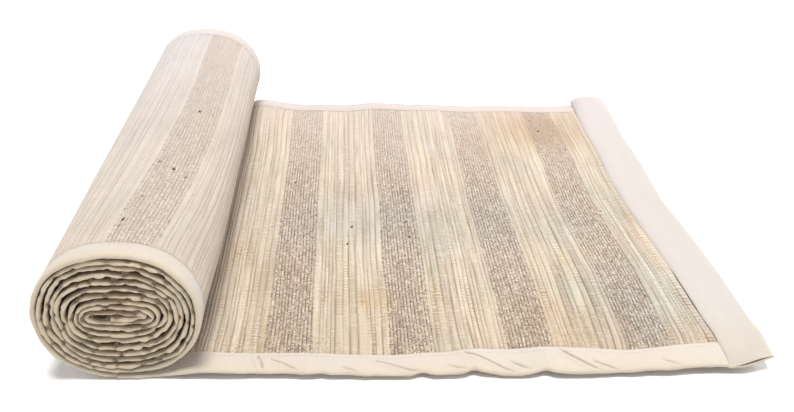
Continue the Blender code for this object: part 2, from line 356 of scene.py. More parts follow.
def pointValues(made, name, values):
    attribute = made.data.attributes.new(name, "FLOAT", "POINT")
    attribute.data.foreach_set("value", np.asarray(values, dtype=np.float32).ravel())


def clothMap(made, along, across):
    # a UV map in metres: U along the mat and V across it
    layer = made.data.uv_layers.new(name="clothMap")
    corners = np.zeros(len(made.data.loops), dtype=np.int32)
    made.data.loops.foreach_get("vertex_index", corners)
    pairs = np.stack([np.asarray(along).ravel()[corners], np.asarray(across).ravel()[corners]], axis=-1)
    layer.data.foreach_set("uv", pairs.astype(np.float32).ravel())


# Helpers for trees of nodes
def newNode(tree, kind, **settings):
    made = tree.nodes.new(kind)
    for key, value in settings.items():
        setattr(made, key, value)
    return made


def join(tree, source, target):
    tree.links.new(source, target)


def sumUp(tree, kind, first, second=None, third=None):
    # one Math node: numbers are set on its sockets, and sockets are linked
    made = newNode(tree, "ShaderNodeMath", operation=kind)
    for socket, value in zip(made.inputs, (first, second, third)):
        if value is None:
            continue
        if isinstance(value, (int, float)):
            socket.default_value = value
        else:
            join(tree, value, socket)
    return made.outputs[0]


def times(tree, first, second):
    return sumUp(tree, "MULTIPLY", first, second)


def minus(tree, first, second):
    return sumUp(tree, "SUBTRACT", first, second)


def timesPlus(tree, first, second, third):
    # first times second, plus third
    return sumUp(tree, "MULTIPLY_ADD", first, second, third)


def blendColour(tree, kind, share, first, second):
    made = newNode(tree, "ShaderNodeMix", data_type="RGBA", blend_type=kind)
    for socket, value in ((made.inputs[0], share), (made.inputs[6], first), (made.inputs[7], second)):
        if isinstance(value, (int, float)):
            socket.default_value = value
        elif isinstance(value, tuple):
            socket.default_value = (*value, 1)
        else:
            join(tree, value, socket)
    return made.outputs[2]


def mixed(tree, share, first, second):
    return blendColour(tree, "MIX", share, first, second)


def tinted(tree, share, colour, tint):
    return blendColour(tree, "MULTIPLY", share, colour, tint)


def scaled(tree, vector, share):
    made = newNode(tree, "ShaderNodeVectorMath", operation="SCALE")
    join(tree, vector, made.inputs[0])
    join(tree, share, made.inputs["Scale"])
    return made.outputs[0]


def noiseOn(tree, vector, scale, detail=2.0, roughness=0.5):
    made = newNode(tree, "ShaderNodeTexNoise")
    made.inputs["Scale"].default_value = scale
    made.inputs["Detail"].default_value = detail
    made.inputs["Roughness"].default_value = roughness
    join(tree, vector, made.inputs["Vector"])
    return made.outputs["Fac"]


def pairUp(tree, first, second):
    made = newNode(tree, "ShaderNodeCombineXYZ")
    for socket, value in zip(made.inputs, (first, second)):
        join(tree, value, socket)
    return made.outputs[0]


def spreadOut(tree, value, low, high, toLow=0.0, toHigh=1.0):
    made = newNode(tree, "ShaderNodeMapRange")
    join(tree, value, made.inputs["Value"])
    for key, number in (("From Min", low), ("From Max", high), ("To Min", toLow), ("To Max", toHigh)):
        made.inputs[key].default_value = number
    return made.outputs["Result"]


def pointValue(tree, name):
    return newNode(tree, "ShaderNodeAttribute", attribute_name=name).outputs["Fac"]


def roundWave(tree, turns):
    # 0 at whole numbers and 1 halfway between them
    return sumUp(tree, "ABSOLUTE", sumUp(tree, "SINE", times(tree, turns, math.pi)))


def paintedFarLightCloth(tree, place, colour, paintedFarLight, paintedTopLight):
    # painted light: the cloth is tinted pale pink towards the far long edge, and made paler on top of the
    # roll, most on its left side and towards its back
    apart = newNode(tree, "ShaderNodeSeparateXYZ")
    join(tree, place, apart.inputs[0])
    x, y, z = (apart.outputs[name] for name in "XYZ")
    colour = mixed(tree, spreadOut(tree, y, 0.02, 0.34, 0.0, 0.5), colour, paintedFarLight)
    onRoll = times(tree, spreadOut(tree, z, 0.035, 0.085), spreadOut(tree, y, -0.300, -0.265))
    backwards = spreadOut(tree, y, -0.30, 0.30, 0.04, 0.62)
    leftwards = spreadOut(tree, x, rollX - 0.02, rollX + 0.06, 1.0, 0.40)
    return mixed(tree, times(tree, onRoll, times(tree, backwards, leftwards)), colour, paintedTopLight)


def startGroup(name, onVector, inputs, outputs, gives="NodeSocketFloat"):
    # a shader group with named inputs, numbers or colours; gives the tree, its input and its output node
    tree = bpy.data.node_groups.new(name, "ShaderNodeTree")
    face = tree.interface
    if onVector:
        face.new_socket("Vector", in_out="INPUT", socket_type="NodeSocketVector")
    for key, value in inputs:
        colour = isinstance(value, tuple)
        kind = "NodeSocketColor" if colour else "NodeSocketFloat"
        socket = face.new_socket(key, in_out="INPUT", socket_type=kind)
        socket.default_value = (*value, 1) if colour else value
    for key in outputs:
        face.new_socket(key, in_out="OUTPUT", socket_type=gives)
    return tree, newNode(tree, "NodeGroupInput"), newNode(tree, "NodeGroupOutput")


# Shader group: fine plain weave, as a height, for tape and band
def buildPlainWeave():
    tree, given, out = startGroup("plainWeave", True, (
        ("Threads Along", 2200.0), ("Threads Across", 2200.0), ("Unevenness", 0.5),
    ), ("Height",))
    apart = newNode(tree, "ShaderNodeSeparateXYZ")
    join(tree, given.outputs["Vector"], apart.inputs[0])
    wander = noiseOn(tree, given.outputs["Vector"], 90.0, 3.0, 0.6)
    shift = times(tree, minus(tree, wander, 0.5), given.outputs["Unevenness"])
    waves = []
    for axis, threads in (("X", "Threads Along"), ("Y", "Threads Across")):
        moved = times(tree, shift, 3.0)
        turns = timesPlus(tree, apart.outputs[axis], given.outputs[threads], moved)
        waves.append(sumUp(tree, "SINE", times(tree, turns, math.tau)))
    crossed = times(tree, waves[0], waves[1])
    join(tree, timesPlus(tree, crossed, 0.5, 0.5), out.inputs["Height"])
    return tree


# Shader group: soft large blotches of tint, as on undyed cotton
def buildClothTint():
    tree, given, out = startGroup("clothTint", True, (
        ("Base", (0.8, 0.7, 0.6)), ("Warm", (0.8, 0.6, 0.5)), ("Cool", (0.7, 0.7, 0.6)),
        ("Blotch Scale", 12.0), ("Strength", 0.5),
    ), ("Color",), "NodeSocketColor")
    colour = given.outputs["Base"]
    for offset, name in ((0.0, "Warm"), (7.3, "Cool")):
        moved = newNode(tree, "ShaderNodeVectorMath", operation="ADD")
        join(tree, given.outputs["Vector"], moved.inputs[0])
        moved.inputs[1].default_value = (offset, offset / 2, offset)
        blotch = newNode(tree, "ShaderNodeTexNoise")
        blotch.inputs["Detail"].default_value = 2.0
        join(tree, moved.outputs[0], blotch.inputs["Vector"])
        join(tree, given.outputs["Blotch Scale"], blotch.inputs["Scale"])
        share = times(tree, spreadOut(tree, blotch.outputs["Fac"], 0.45, 0.68), given.outputs["Strength"])
        colour = mixed(tree, share, colour, given.outputs[name])
    join(tree, colour, out.inputs["Color"])
    return tree


plainWeave = buildPlainWeave()
clothTint = buildClothTint()


def groupNode(tree, group, **values):
    made = newNode(tree, "ShaderNodeGroup", node_tree=group)
    for name, value in values.items():
        socket = made.inputs[name.replace("_", " ")]
        if isinstance(value, bpy.types.NodeSocket):
            join(tree, value, socket)
        elif isinstance(value, tuple):
            socket.default_value = (*value, 1)
        else:
            socket.default_value = value
    return made


def startMaterial(name, roughness, sheen):
    made = bpy.data.materials.new(name)
    made.use_nodes = True
    tree = made.node_tree
    shader = tree.nodes["Principled BSDF"]
    shader.inputs["Roughness"].default_value = roughness
    shader.inputs["Specular IOR Level"].default_value = 0.15
    shader.inputs["Sheen Weight"].default_value = sheen
    shader.inputs["Sheen Roughness"].default_value = 0.6
    return made, tree, shader


def bumpInto(tree, shader, height, strength, distance):
    made = newNode(tree, "ShaderNodeBump")
    made.inputs["Strength"].default_value = strength
    made.inputs["Distance"].default_value = distance
    join(tree, height, made.inputs["Height"])
    join(tree, made.outputs["Normal"], shader.inputs["Normal"])


# Shader group: one row of yarn, crossed by the finer thread, as beads
def buildYarnRow():
    tree, given, out = startGroup("yarnRow", False, (
        ("Phase", 0.0), ("Across", 0.0), ("Bead Length", 0.0018), ("Wobble", 0.6),
    ), ("Tone", "Chance", "Bead", "Cord"))
    row = sumUp(tree, "FLOOR", given.outputs["Phase"])
    seat = pairUp(tree, times(tree, row, 3.7), times(tree, given.outputs["Across"], 90.0))
    drift = times(tree, noiseOn(tree, seat, 1.0, 1.0), given.outputs["Wobble"])
    beads = sumUp(tree, "DIVIDE", given.outputs["Across"], given.outputs["Bead Length"])
    start = newNode(tree, "ShaderNodeTexWhiteNoise", noise_dimensions="1D")
    join(tree, row, start.inputs["W"])
    beads = timesPlus(tree, start.outputs["Value"], 2.0, beads)
    beads = timesPlus(tree, drift, 2.0, beads)
    number = sumUp(tree, "FLOOR", beads)
    cell = newNode(tree, "ShaderNodeTexWhiteNoise", noise_dimensions="2D")
    join(tree, pairUp(tree, row, number), cell.inputs["Vector"])
    turn = sumUp(tree, "MODULO", sumUp(tree, "ADD", number, 1000.0), 2.0)
    tone = timesPlus(tree, turn, 0.42, times(tree, cell.outputs["Value"], 0.58))
    join(tree, tone, out.inputs["Tone"])
    join(tree, cell.outputs["Value"], out.inputs["Chance"])
    join(tree, roundWave(tree, beads), out.inputs["Bead"])
    join(tree, roundWave(tree, given.outputs["Phase"]), out.inputs["Cord"])
    return tree


yarnRow = buildYarnRow()

# Plain cotton of the tapes and the band
cotton = {
    "tape": {"base": (0.522, 0.468, 0.408), "warm": (0.532, 0.456, 0.392), "cool": (0.500, 0.468, 0.408)},
    "band": {"base": (0.472, 0.434, 0.404), "warm": (0.482, 0.426, 0.406), "cool": (0.462, 0.438, 0.396)},
    # yellowing of the fold, partly wear and partly painted warm shade
    "wearAndShade": (1.00, 0.93, 0.75),
    # painted shade along the creases
    "creaseShade": (0.40, 0.32, 0.23),
    # painted shade for the gaps between turns and inside the band
    "deep": (0.36, 0.28, 0.19),
    # painted light on top of the roll, and towards the far edge
    "paintedTopLight": (0.550, 0.512, 0.500),
    "paintedFarLight": (0.520, 0.450, 0.465),
    "threads": 2100.0, "roughness": 0.85, "sheen": 0.12, "bump": 0.35, "threadDepth": 0.0002,
}


def buildCotton(name, tints):
    made, tree, shader = startMaterial(name, cotton["roughness"], cotton["sheen"])
    place = newNode(tree, "ShaderNodeTexCoord").outputs["Object"]
    onCloth = newNode(tree, "ShaderNodeUVMap", uv_map="clothMap")
    tint = groupNode(tree, clothTint, Vector=place, Base=tints["base"], Warm=tints["warm"],
                     Cool=tints["cool"], Blotch_Scale=14.0, Strength=0.7)
    weave = groupNode(tree, plainWeave, Vector=onCloth.outputs["UV"], Threads_Along=cotton["threads"],
                      Threads_Across=cotton["threads"], Unevenness=0.5)
    # the folded edge in the roll is yellowed and greyed, partly as wear and partly as painted warm shade of
    # light bounced between the turns; creases and the gaps between turns get painted shade, and the far side
    # and the roll's top get painted light
    patches = spreadOut(tree, noiseOn(tree, place, 70.0, 3.0, 0.6), 0.3, 0.7, 0.7, 1.0)
    wearAndShade = times(tree, pointValue(tree, "wearAndShade"), patches)
    colour = tinted(tree, wearAndShade, tint.outputs["Color"], cotton["wearAndShade"])
    # painted shade along the creases, and deep in the gaps between turns and inside the band
    for name in ("creaseShade", "deep"):
        colour = tinted(tree, pointValue(tree, name), colour, cotton[name])
    colour = paintedFarLightCloth(tree, place, colour, cotton["paintedFarLight"], cotton["paintedTopLight"])
    flecks = noiseOn(tree, place, 900.0, 2.0, 0.7)
    colour = scaled(tree, colour, spreadOut(tree, flecks, 0.3, 0.7, 0.95, 1.04))
    join(tree, colour, shader.inputs["Base Color"])
    wrinkle = noiseOn(tree, place, 160.0, 3.0, 0.55)
    height = timesPlus(tree, wrinkle, 1.5, weave.outputs["Height"])
    bumpInto(tree, shader, height, cotton["bump"], cotton["threadDepth"])
    return made


tapeCotton = buildCotton("tapeCotton", cotton["tape"])
bandCotton = buildCotton("bandCotton", cotton["band"])
print("cotton materials made")

# The woven mat
weaveLook = {
    "stripes": (0.059, 0.166, 0.272, 0.383, 0.502, 0.621, 0.740, 0.859),   # middles, from the seam
    "stripeStep": 0.112,      # between stripes further in
    "stripeWidth": 0.0395,
    "wideRib": (0.0062, 0.0090),
    "narrowRib": (0.0030, 0.0043),
    "narrowShare": 0.55,
    "fullRib": 0.0072,        # width from which a rib has its full height
    "fineRibs": 12,           # in one stripe
    "ribHeight": 0.00080,
    "fineRibHeight": 0.00050,
    "pressedHalf": 0.00130,   # half the thickness under tape and band
    "openHalf": 0.00165,      # half the thickness in the grooves
    "shownTurn": 0.43,        # length of the outer turn, where the ribs are fine
    "across": (0.0042, 0.022, 0.0280, 0.0291, 0.034, 0.043, 0.060, 0.085, 0.115, 0.150, 0.190, 0.245),
    "seed": 5,
}


def layRibs():
    # rows along the mat: place, rib phase, place past the nearest stripe's edge, size of the rib
    w = weaveLook
    rng = np.random.default_rng(w["seed"])
    middles = list(w["stripes"])
    while middles[-1] + w["stripeStep"] < matLength:
        middles.append(middles[-1] + w["stripeStep"])
    shownEnd = flatEnd + w["shownTurn"]
    wideParts = (0.0, 0.06, 0.16, 0.32, 0.50, 0.68, 0.84, 0.94)
    narrowParts = (0.0, 0.12, 0.35, 0.65, 0.88)
    fineParts = (0.0, 0.14, 0.50, 0.86)
    rows = []
    phase = 0
    start = 0.0
    for middle in middles + [matLength + 0.05]:
        low, high = start, min(middle - w["stripeWidth"] / 2, matLength)
        widths = []
        while sum(widths) < high - low - 0.002:
            narrow = rng.random() < w["narrowShare"]
            widths.append(rng.uniform(*(w["narrowRib"] if narrow else w["wideRib"])))
        if not widths:
            break
        edges = low + np.concatenate([[0], np.cumsum(widths)]) * (high - low) / sum(widths)
        for rib, (first, last) in enumerate(zip(edges[:-1], edges[1:])):
            size = min(1.0, (last - first) / w["fullRib"]) ** 0.6
            parts = wideParts if last - first > 0.005 else narrowParts
            for part in parts if first < shownEnd else parts[:1]:
                rows.append((first + (last - first) * part, phase + rib + part, size, 0.0))
        phase += len(widths)
        start = middle + w["stripeWidth"] / 2
        if start > matLength:
            break
        for rib in range(w["fineRibs"]):
            for part in fineParts if high < shownEnd else fineParts[:1 if rib % 3 == 0 else 0]:
                place = high + w["stripeWidth"] * (rib + part) / w["fineRibs"]
                rows.append((place, phase + rib + part, 1.0, 1.0))
        phase += w["fineRibs"]
    rows = np.array([row for row in rows if row[0] < matLength - 0.001])
    past = np.min(np.abs(rows[:, :1] - np.array([middles])), axis=1) - w["stripeWidth"] / 2
    return rows[:, 0], rows[:, 1], past, rows[:, 2], rows[:, 3]


def buildWeave():
    w = weaveLook
    s, phase, past, size, fine = layRibs()
    across = np.array([d - half for d in w["across"]] + [0.0] + [half - d for d in reversed(w["across"])])
    # the ring runs over the upper face towards the back and returns below
    ringAcross = np.concatenate([across, across[::-1]])
    ringSide = np.concatenate([np.ones(len(across)), -np.ones(len(across))])
    along, place = np.meshgrid(s, ringAcross, indexing="ij")
    face = np.broadcast_to(ringSide, along.shape)
    fromEdge = half - np.abs(place)
    free = smooth((fromEdge - 0.0281) / 0.0010) * smooth((along - 0.0002) / 0.0008)
    thick = w["pressedHalf"] + (w["openHalf"] - w["pressedHalf"]) * free
    # the ribs wander a little along the mat, the same through its thickness
    wander = 0.0011 * patchNoise(along, place, 0.030, 0.11, 31)
    wander = wander + 0.0006 * patchNoise(along, place, 0.012, 0.05, 32)
    wander = wander * smooth((fromEdge - 0.02) / 0.03) * smooth(along / 0.01)
    made = gridMesh("wovenMat", onMat(skewed(along + wander, place), place, face * thick))
    shown = np.where(along < flatEnd - 0.02, face > 0, face < 0) * free * (along < flatEnd + w["shownTurn"])
    for name, values in (("ribPhase", phase), ("pastStripe", past), ("ribSize", size), ("fineRib", fine)):
        pointValues(made, name, np.broadcast_to(values[:, None], along.shape))
    for name, values in (("relief", free), ("underside", (1 - face) / 2), ("shown", shown)):
        pointValues(made, name, values)
    clothMap(made, along, place)
    return made


def socketId(group, name):
    items = group.interface.items_tree
    return next(item.identifier for item in items if item.name == name and item.in_out == "INPUT")


def namedValue(tree, name):
    made = newNode(tree, "GeometryNodeInputNamedAttribute", data_type="FLOAT")
    made.inputs["Name"].default_value = name
    return made.outputs["Attribute"]


def startTree(name, inputs):
    # a geometry tree with a mesh, named inputs and a material; gives the tree, its input and its output node
    tree = bpy.data.node_groups.new(name, "GeometryNodeTree")
    face = tree.interface
    face.new_socket("Geometry", in_out="INPUT", socket_type="NodeSocketGeometry")
    for key, value in inputs:
        kind = "NodeSocketInt" if isinstance(value, int) else "NodeSocketFloat"
        face.new_socket(key, in_out="INPUT", socket_type=kind).default_value = value
    face.new_socket("Material", in_out="INPUT", socket_type="NodeSocketMaterial")
    face.new_socket("Geometry", in_out="OUTPUT", socket_type="NodeSocketGeometry")
    return tree, newNode(tree, "NodeGroupInput"), newNode(tree, "NodeGroupOutput")


def strewn(tree, points, subdivisions, radius, turned, size):
    # a bead at each point, turned and sized there
    bead = newNode(tree, "GeometryNodeMeshIcoSphere")
    bead.inputs["Radius"].default_value = radius
    bead.inputs["Subdivisions"].default_value = subdivisions
    placed = newNode(tree, "GeometryNodeInstanceOnPoints")
    for name, source in (("Points", points), ("Instance", bead.outputs["Mesh"]), ("Rotation", turned),
                         ("Scale", size)):
        join(tree, source, placed.inputs[name])
    return placed.outputs[0]


def endTree(tree, given, out, geometry):
    real = newNode(tree, "GeometryNodeRealizeInstances")
    join(tree, geometry, real.inputs[0])
    finish = newNode(tree, "GeometryNodeSetMaterial")
    join(tree, real.outputs[0], finish.inputs["Geometry"])
    join(tree, given.outputs["Material"], finish.inputs["Material"])
    join(tree, finish.outputs[0], out.inputs["Geometry"])
    return tree


# Geometry tree: moves the cloth's points out along its normals, in cords and grooves
def buildReliefTree():
    tree, given, out = startTree("ribRelief", (
        ("Rib Height", 0.0008), ("Fine Rib Height", 0.0004), ("Roundness", 0.55), ("Unevenness", 0.6),
        ("Lump Size", 110.0),
    ))
    cord = sumUp(tree, "POWER", roundWave(tree, namedValue(tree, "ribPhase")), given.outputs["Roundness"])
    fine = namedValue(tree, "fineRib")
    coarse = times(tree, minus(tree, 1.0, fine), given.outputs["Rib Height"])
    high = timesPlus(tree, fine, given.outputs["Fine Rib Height"], coarse)
    high = times(tree, high, namedValue(tree, "ribSize"))
    lumps = newNode(tree, "ShaderNodeTexNoise")
    join(tree, given.outputs["Lump Size"], lumps.inputs["Scale"])
    lumpy = minus(tree, lumps.outputs["Fac"], 0.5)
    uneven = timesPlus(tree, lumpy, given.outputs["Unevenness"], 1.0)
    height = times(tree, times(tree, cord, high), times(tree, uneven, namedValue(tree, "relief")))
    outwards = newNode(tree, "GeometryNodeInputNormal").outputs[0]
    moved = newNode(tree, "GeometryNodeSetPosition")
    join(tree, given.outputs["Geometry"], moved.inputs["Geometry"])
    join(tree, scaled(tree, outwards, height), moved.inputs["Offset"])
    return endTree(tree, given, out, moved.outputs[0])


def evaluateTree(made, tree, settings, name=None):
    # runs a geometry tree on an object; its result becomes the object's plain mesh, or a new object's
    modifier = made.modifiers.new(tree.name, "NODES")
    modifier.node_group = tree
    for key, value in settings.items():
        modifier[socketId(tree, key)] = value
    bpy.context.view_layer.update()
    depsgraph = bpy.context.evaluated_depsgraph_get()
    plain = bpy.data.meshes.new_from_object(
        made.evaluated_get(depsgraph), preserve_all_data_layers=True, depsgraph=depsgraph)
    made.modifiers.clear()
    if name:
        made = placeObject(name, plain)
    made.data = plain
    plain.name = made.name
    plain.shade_smooth()
    return made


# Colours of the weave: cream cords, painted shade in the grooves, speckled stripes
weaveColours = {
    "cream": (0.500, 0.430, 0.340),
    "pink": (0.520, 0.430, 0.345),
    "straw": (0.500, 0.440, 0.325),
    "grey": (0.465, 0.425, 0.355),
    "tan": (0.475, 0.385, 0.280),
    "pale": (0.555, 0.495, 0.415),
    "pinkish": (1.00, 0.95, 0.93),
    "greenish": (0.93, 0.98, 0.98),
    "thread": (0.620, 0.560, 0.480),
    # painted shade in the grooves between cords
    "groove": (0.44, 0.36, 0.25),
    "ladder": (0.66, 0.56, 0.43),
    "gather": (0.58, 0.47, 0.35),
    "stainTan": (0.96, 0.88, 0.77),
    "stainGrey": (0.86, 0.93, 1.00),
    "stainBrown": (0.84, 0.76, 0.64),
    "stainFront": (0.91, 0.88, 0.84),
    # painted light on top of the roll
    "paintedTopLight": (0.520, 0.495, 0.512),
    "paintedTopLightStripe": (0.425, 0.362, 0.345),
    "beadBright": (0.720, 0.660, 0.570),
    "beadLight": (0.440, 0.368, 0.290),
    "beadMid": (0.325, 0.268, 0.208),
    "beadDark": (0.085, 0.062, 0.042),
    "between": (0.36, 0.30, 0.25),
    "mauve": (0.93, 0.85, 0.83),
    "under": (0.500, 0.440, 0.380),
    # painted light towards the far edge
    "paintedFarLight": (0.570, 0.490, 0.435),
    "slub": (0.070, 0.048, 0.034),
}

# Soft stains of the cloth: (middle, reach, colour, strength)
weaveStains = (
    ((0.204, 0.225, 0.005), 0.075, "stainBrown", 1.0),
    ((0.218, 0.235, 0.005), 0.070, "stainTan", 0.6),
    ((0.165, 0.185, 0.005), 0.085, "stainTan", 0.8),
    ((0.137, -0.236, 0.006), 0.075, "stainBrown", 0.35),
    ((0.240, -0.220, 0.006), 0.090, "stainGrey", 0.9),
    ((0.045, -0.030, 0.005), 0.080, "stainGrey", 0.6),
    ((-0.063, -0.030, 0.005), 0.070, "stainGrey", 0.7),
    ((0.150, -0.040, 0.005), 0.070, "stainGrey", 0.6),
    ((-0.036, -0.195, 0.005), 0.022, "stainTan", 1.0),
    ((-0.180, -0.120, 0.005), 0.060, "stainBrown", 0.45),
    ((0.204, 0.235, 0.005), 0.060, "stainBrown", 0.50),
    ((-0.070, -0.300, 0.005), 0.150, "stainFront", 1.0),
    ((0.190, -0.300, 0.005), 0.120, "stainFront", 0.7),
)


def buildWeaveMaterial():
    c = weaveColours
    made, tree, shader = startMaterial("stripedWeave", 0.88, 0.12)
    place = newNode(tree, "ShaderNodeTexCoord").outputs["Object"]
    onCloth = newNode(tree, "ShaderNodeUVMap", uv_map="clothMap").outputs["UV"]
    apart = newNode(tree, "ShaderNodeSeparateXYZ")
    join(tree, onCloth, apart.inputs[0])
    along, across = apart.outputs["X"], apart.outputs["Y"]

    def perRib(number, numberScale, acrossScale, detail=1.0):
        seat = pairUp(tree, times(tree, number, numberScale), times(tree, across, acrossScale))
        return noiseOn(tree, seat, 1.0, detail)

    def streaks(alongScale, acrossScale):
        return perRib(along, alongScale, acrossScale, 2.0)

    def yarn(rows, beadLength, wobble):
        made = groupNode(tree, yarnRow, Phase=rows, Across=across, Bead_Length=beadLength, Wobble=wobble)
        return made.outputs

    def spots(rows):
        return spreadOut(tree, times(tree, rows["Bead"], rows["Cord"]), 0.18, 0.62)

    phase = pointValue(tree, "ribPhase")
    ribNumber = sumUp(tree, "FLOOR", phase)
    grooveNumber = sumUp(tree, "ROUND", phase)
    under = spreadOut(tree, pointValue(tree, "underside"), 0.4, 0.6)
    past = minus(tree, pointValue(tree, "pastStripe"), 0.0022)
    ragged = timesPlus(tree, streaks(60.0, 230.0), 0.010, past)
    stripe = spreadOut(tree, ragged, 0.0022, 0.0036, 1.0, 0.0)

    # each cord has its own yarn colour, which changes slowly along it
    ramp = newNode(tree, "ShaderNodeValToRGB")
    stops = ramp.color_ramp.elements
    stops[0].position, stops[0].color = 0.28, (*c["grey"], 1)
    stops[1].position, stops[1].color = 0.74, (*c["pale"], 1)
    for position, key in ((0.38, "straw"), (0.47, "cream"), (0.56, "pink"), (0.65, "cream")):
        stops.new(position).color = (*c[key], 1)
    join(tree, perRib(ribNumber, 7.31, 3.5), ramp.inputs[0])
    pale = mixed(tree, spreadOut(tree, perRib(ribNumber, 1.93, 7.0), 0.58, 0.72, 0.0, 0.8),
                 ramp.outputs["Color"], c["tan"])
    thread = spreadOut(tree, streaks(620.0, 22.0), 0.42, 0.62)
    pale = mixed(tree, times(tree, thread, 0.5), pale, c["thread"])
    for scale, key in ((7.0, "greenish"), (9.0, "pinkish")):
        pale = tinted(tree, spreadOut(tree, noiseOn(tree, place, scale, 2.0), 0.48, 0.62), pale, c[key])
    pale = tinted(tree, spreadOut(tree, streaks(310.0, 9.0), 0.52, 0.66, 0.0, 0.5), pale, c["ladder"])
    # some cords are darker yarn than their neighbours
    pale = scaled(tree, pale, spreadOut(tree, perRib(ribNumber, 4.17, 4.0, 2.0), 0.32, 0.60, 0.80, 1.04))

    # the thread that crosses the cords shows as ladders, in patches
    cords = yarn(phase, 0.00165, 0.5)
    rungs = spreadOut(tree, cords["Bead"], 0.15, 0.62, 1.0, 0.0)
    patch = times(tree, spreadOut(tree, perRib(ribNumber, 5.7, 16.0, 2.0), 0.42, 0.60, 0.15, 1.0),
                  spreadOut(tree, noiseOn(tree, place, 16.0, 2.0), 0.36, 0.60, 0.3, 1.0))
    underPatch = spreadOut(tree, noiseOn(tree, place, 30.0, 2.0), 0.42, 0.60, 0.2, 0.9)
    patch = sumUp(tree, "MAXIMUM", patch, times(tree, under, underPatch))
    ladder = times(tree, times(tree, rungs, patch), spreadOut(tree, cords["Tone"], 0.2, 0.9))
    pale = tinted(tree, times(tree, ladder, 0.8), pale, c["ladder"])
    # coarser gathers where that thread is pulled tight, most beside the band's seam
    gathers = yarn(phase, 0.0050, 0.9)
    tight = spreadOut(tree, perRib(ribNumber, 8.3, 13.0, 2.0), 0.50, 0.66, 0.0, 0.9)
    tight = sumUp(tree, "MAXIMUM", tight, spreadOut(tree, along, 0.006, 0.030, 0.9, 0.0))
    lines = times(tree, spreadOut(tree, gathers["Bead"], 0.10, 0.50, 1.0, 0.0), tight)
    lines = times(tree, lines, spreadOut(tree, gathers["Chance"], 0.1, 0.6, 0.3, 1.0))
    pale = tinted(tree, lines, pale, c["gather"])
    # painted highlight on the crests of some gathers
    shine = times(tree, spreadOut(tree, gathers["Chance"], 0.72, 0.85, 0.0, 0.4),
                  spreadOut(tree, gathers["Bead"], 0.80, 0.97))
    pale = mixed(tree, shine, pale, c["thread"])

    # it also shows as scattered specks, in patches
    grain = yarn(sumUp(tree, "DIVIDE", along, 0.0017), 0.0019, 0.9)
    seen = spreadOut(tree, noiseOn(tree, place, 24.0, 2.0), 0.40, 0.62, 0.12, 0.85)
    grainSpot = times(tree, spots(grain), seen)
    # painted highlight on some of the specks
    shine = times(tree, spreadOut(tree, grain["Chance"], 0.74, 0.88, 0.0, 0.7), grainSpot)
    pale = mixed(tree, shine, pale, c["thread"])
    dots = times(tree, spreadOut(tree, grain["Chance"], 0.10, 0.26, 0.8, 0.0), grainSpot)
    pale = tinted(tree, dots, pale, c["gather"])

    # stripes: thin rows of mixed yarn, with light specks on them and dark ones mostly in the gaps
    beads = yarn(phase, 0.0046, 0.8)
    specks = yarn(timesPlus(tree, phase, 2.0, 0.5), 0.0019, 0.9)
    spot = spots(specks)
    patchy = spreadOut(tree, streaks(60.0, 16.0), 0.32, 0.60, 0.70, 1.0)
    speckled = mixed(tree, beads["Chance"], c["beadMid"], c["beadLight"])
    bright = times(tree, spreadOut(tree, specks["Chance"], 0.68, 0.86, 0.0, 0.9), spot)
    speckled = mixed(tree, bright, speckled, c["beadBright"])
    gap = spreadOut(tree, beads["Cord"], 0.06, 0.60, 1.0, 0.0)
    between = times(tree, gap, spreadOut(tree, streaks(180.0, 40.0), 0.36, 0.62, 0.15, 1.0))
    speckled = tinted(tree, between, speckled, c["between"])
    rare = minus(tree, timesPlus(tree, gap, 0.36, 0.16), specks["Chance"])
    dark = times(tree, times(tree, spreadOut(tree, rare, 0.0, 0.08), spot), patchy)
    speckled = mixed(tree, dark, speckled, c["beadDark"])
    mauve = spreadOut(tree, streaks(70.0, 10.0), 0.46, 0.64, 0.0, 0.6)
    speckled = tinted(tree, mauve, speckled, c["mauve"])

    # painted shade in the grooves between cords: dark in some, hardly seen in others
    strength = spreadOut(tree, perRib(grooveNumber, 3.31, 9.0, 2.0), 0.36, 0.62, 0.10, 0.80)
    groove = times(tree, spreadOut(tree, cords["Cord"], 0.0, 0.62, 1.0, 0.0), strength)
    pale = tinted(tree, groove, pale, c["groove"])

    # the underside is paler, with less contrast
    pale = mixed(tree, under, pale, mixed(tree, 0.5, pale, c["under"]))
    speckled = mixed(tree, under, speckled, mixed(tree, 0.40, speckled, c["under"]))
    colour = mixed(tree, stripe, pale, speckled)
    for centre, reach, key, strength in weaveStains:
        away = newNode(tree, "ShaderNodeVectorMath", operation="DISTANCE")
        join(tree, place, away.inputs[0])
        away.inputs[1].default_value = centre
        share = spreadOut(tree, away.outputs["Value"], 0.35 * reach, 1.25 * reach, strength, 0.0)
        colour = tinted(tree, share, colour, c[key])
    # painted light on top of the roll, a little darker on the stripes, and towards the far edge
    paintedTopLight = mixed(tree, stripe, c["paintedTopLight"], c["paintedTopLightStripe"])
    colour = paintedFarLightCloth(tree, place, colour, c["paintedFarLight"], paintedTopLight)
    join(tree, colour, shader.inputs["Base Color"])

    fine = timesPlus(tree, thread, 0.5, times(tree, noiseOn(tree, place, 1300.0, 2.0), 0.7))
    crossed = times(tree, cords["Bead"], timesPlus(tree, patch, 0.9, 0.25))
    pulled = timesPlus(tree, tight, 1.6, 0.3)
    crossed = timesPlus(tree, gathers["Bead"], pulled, crossed)
    plainHeight = times(tree, minus(tree, 1.0, stripe), crossed)
    beadHeight = times(tree, stripe, timesPlus(tree, specks["Bead"], 0.35, beads["Cord"]))
    height = sumUp(tree, "ADD", fine, sumUp(tree, "ADD", plainHeight, beadHeight))
    bumpInto(tree, shader, height, 0.75, 0.00032)
    return made


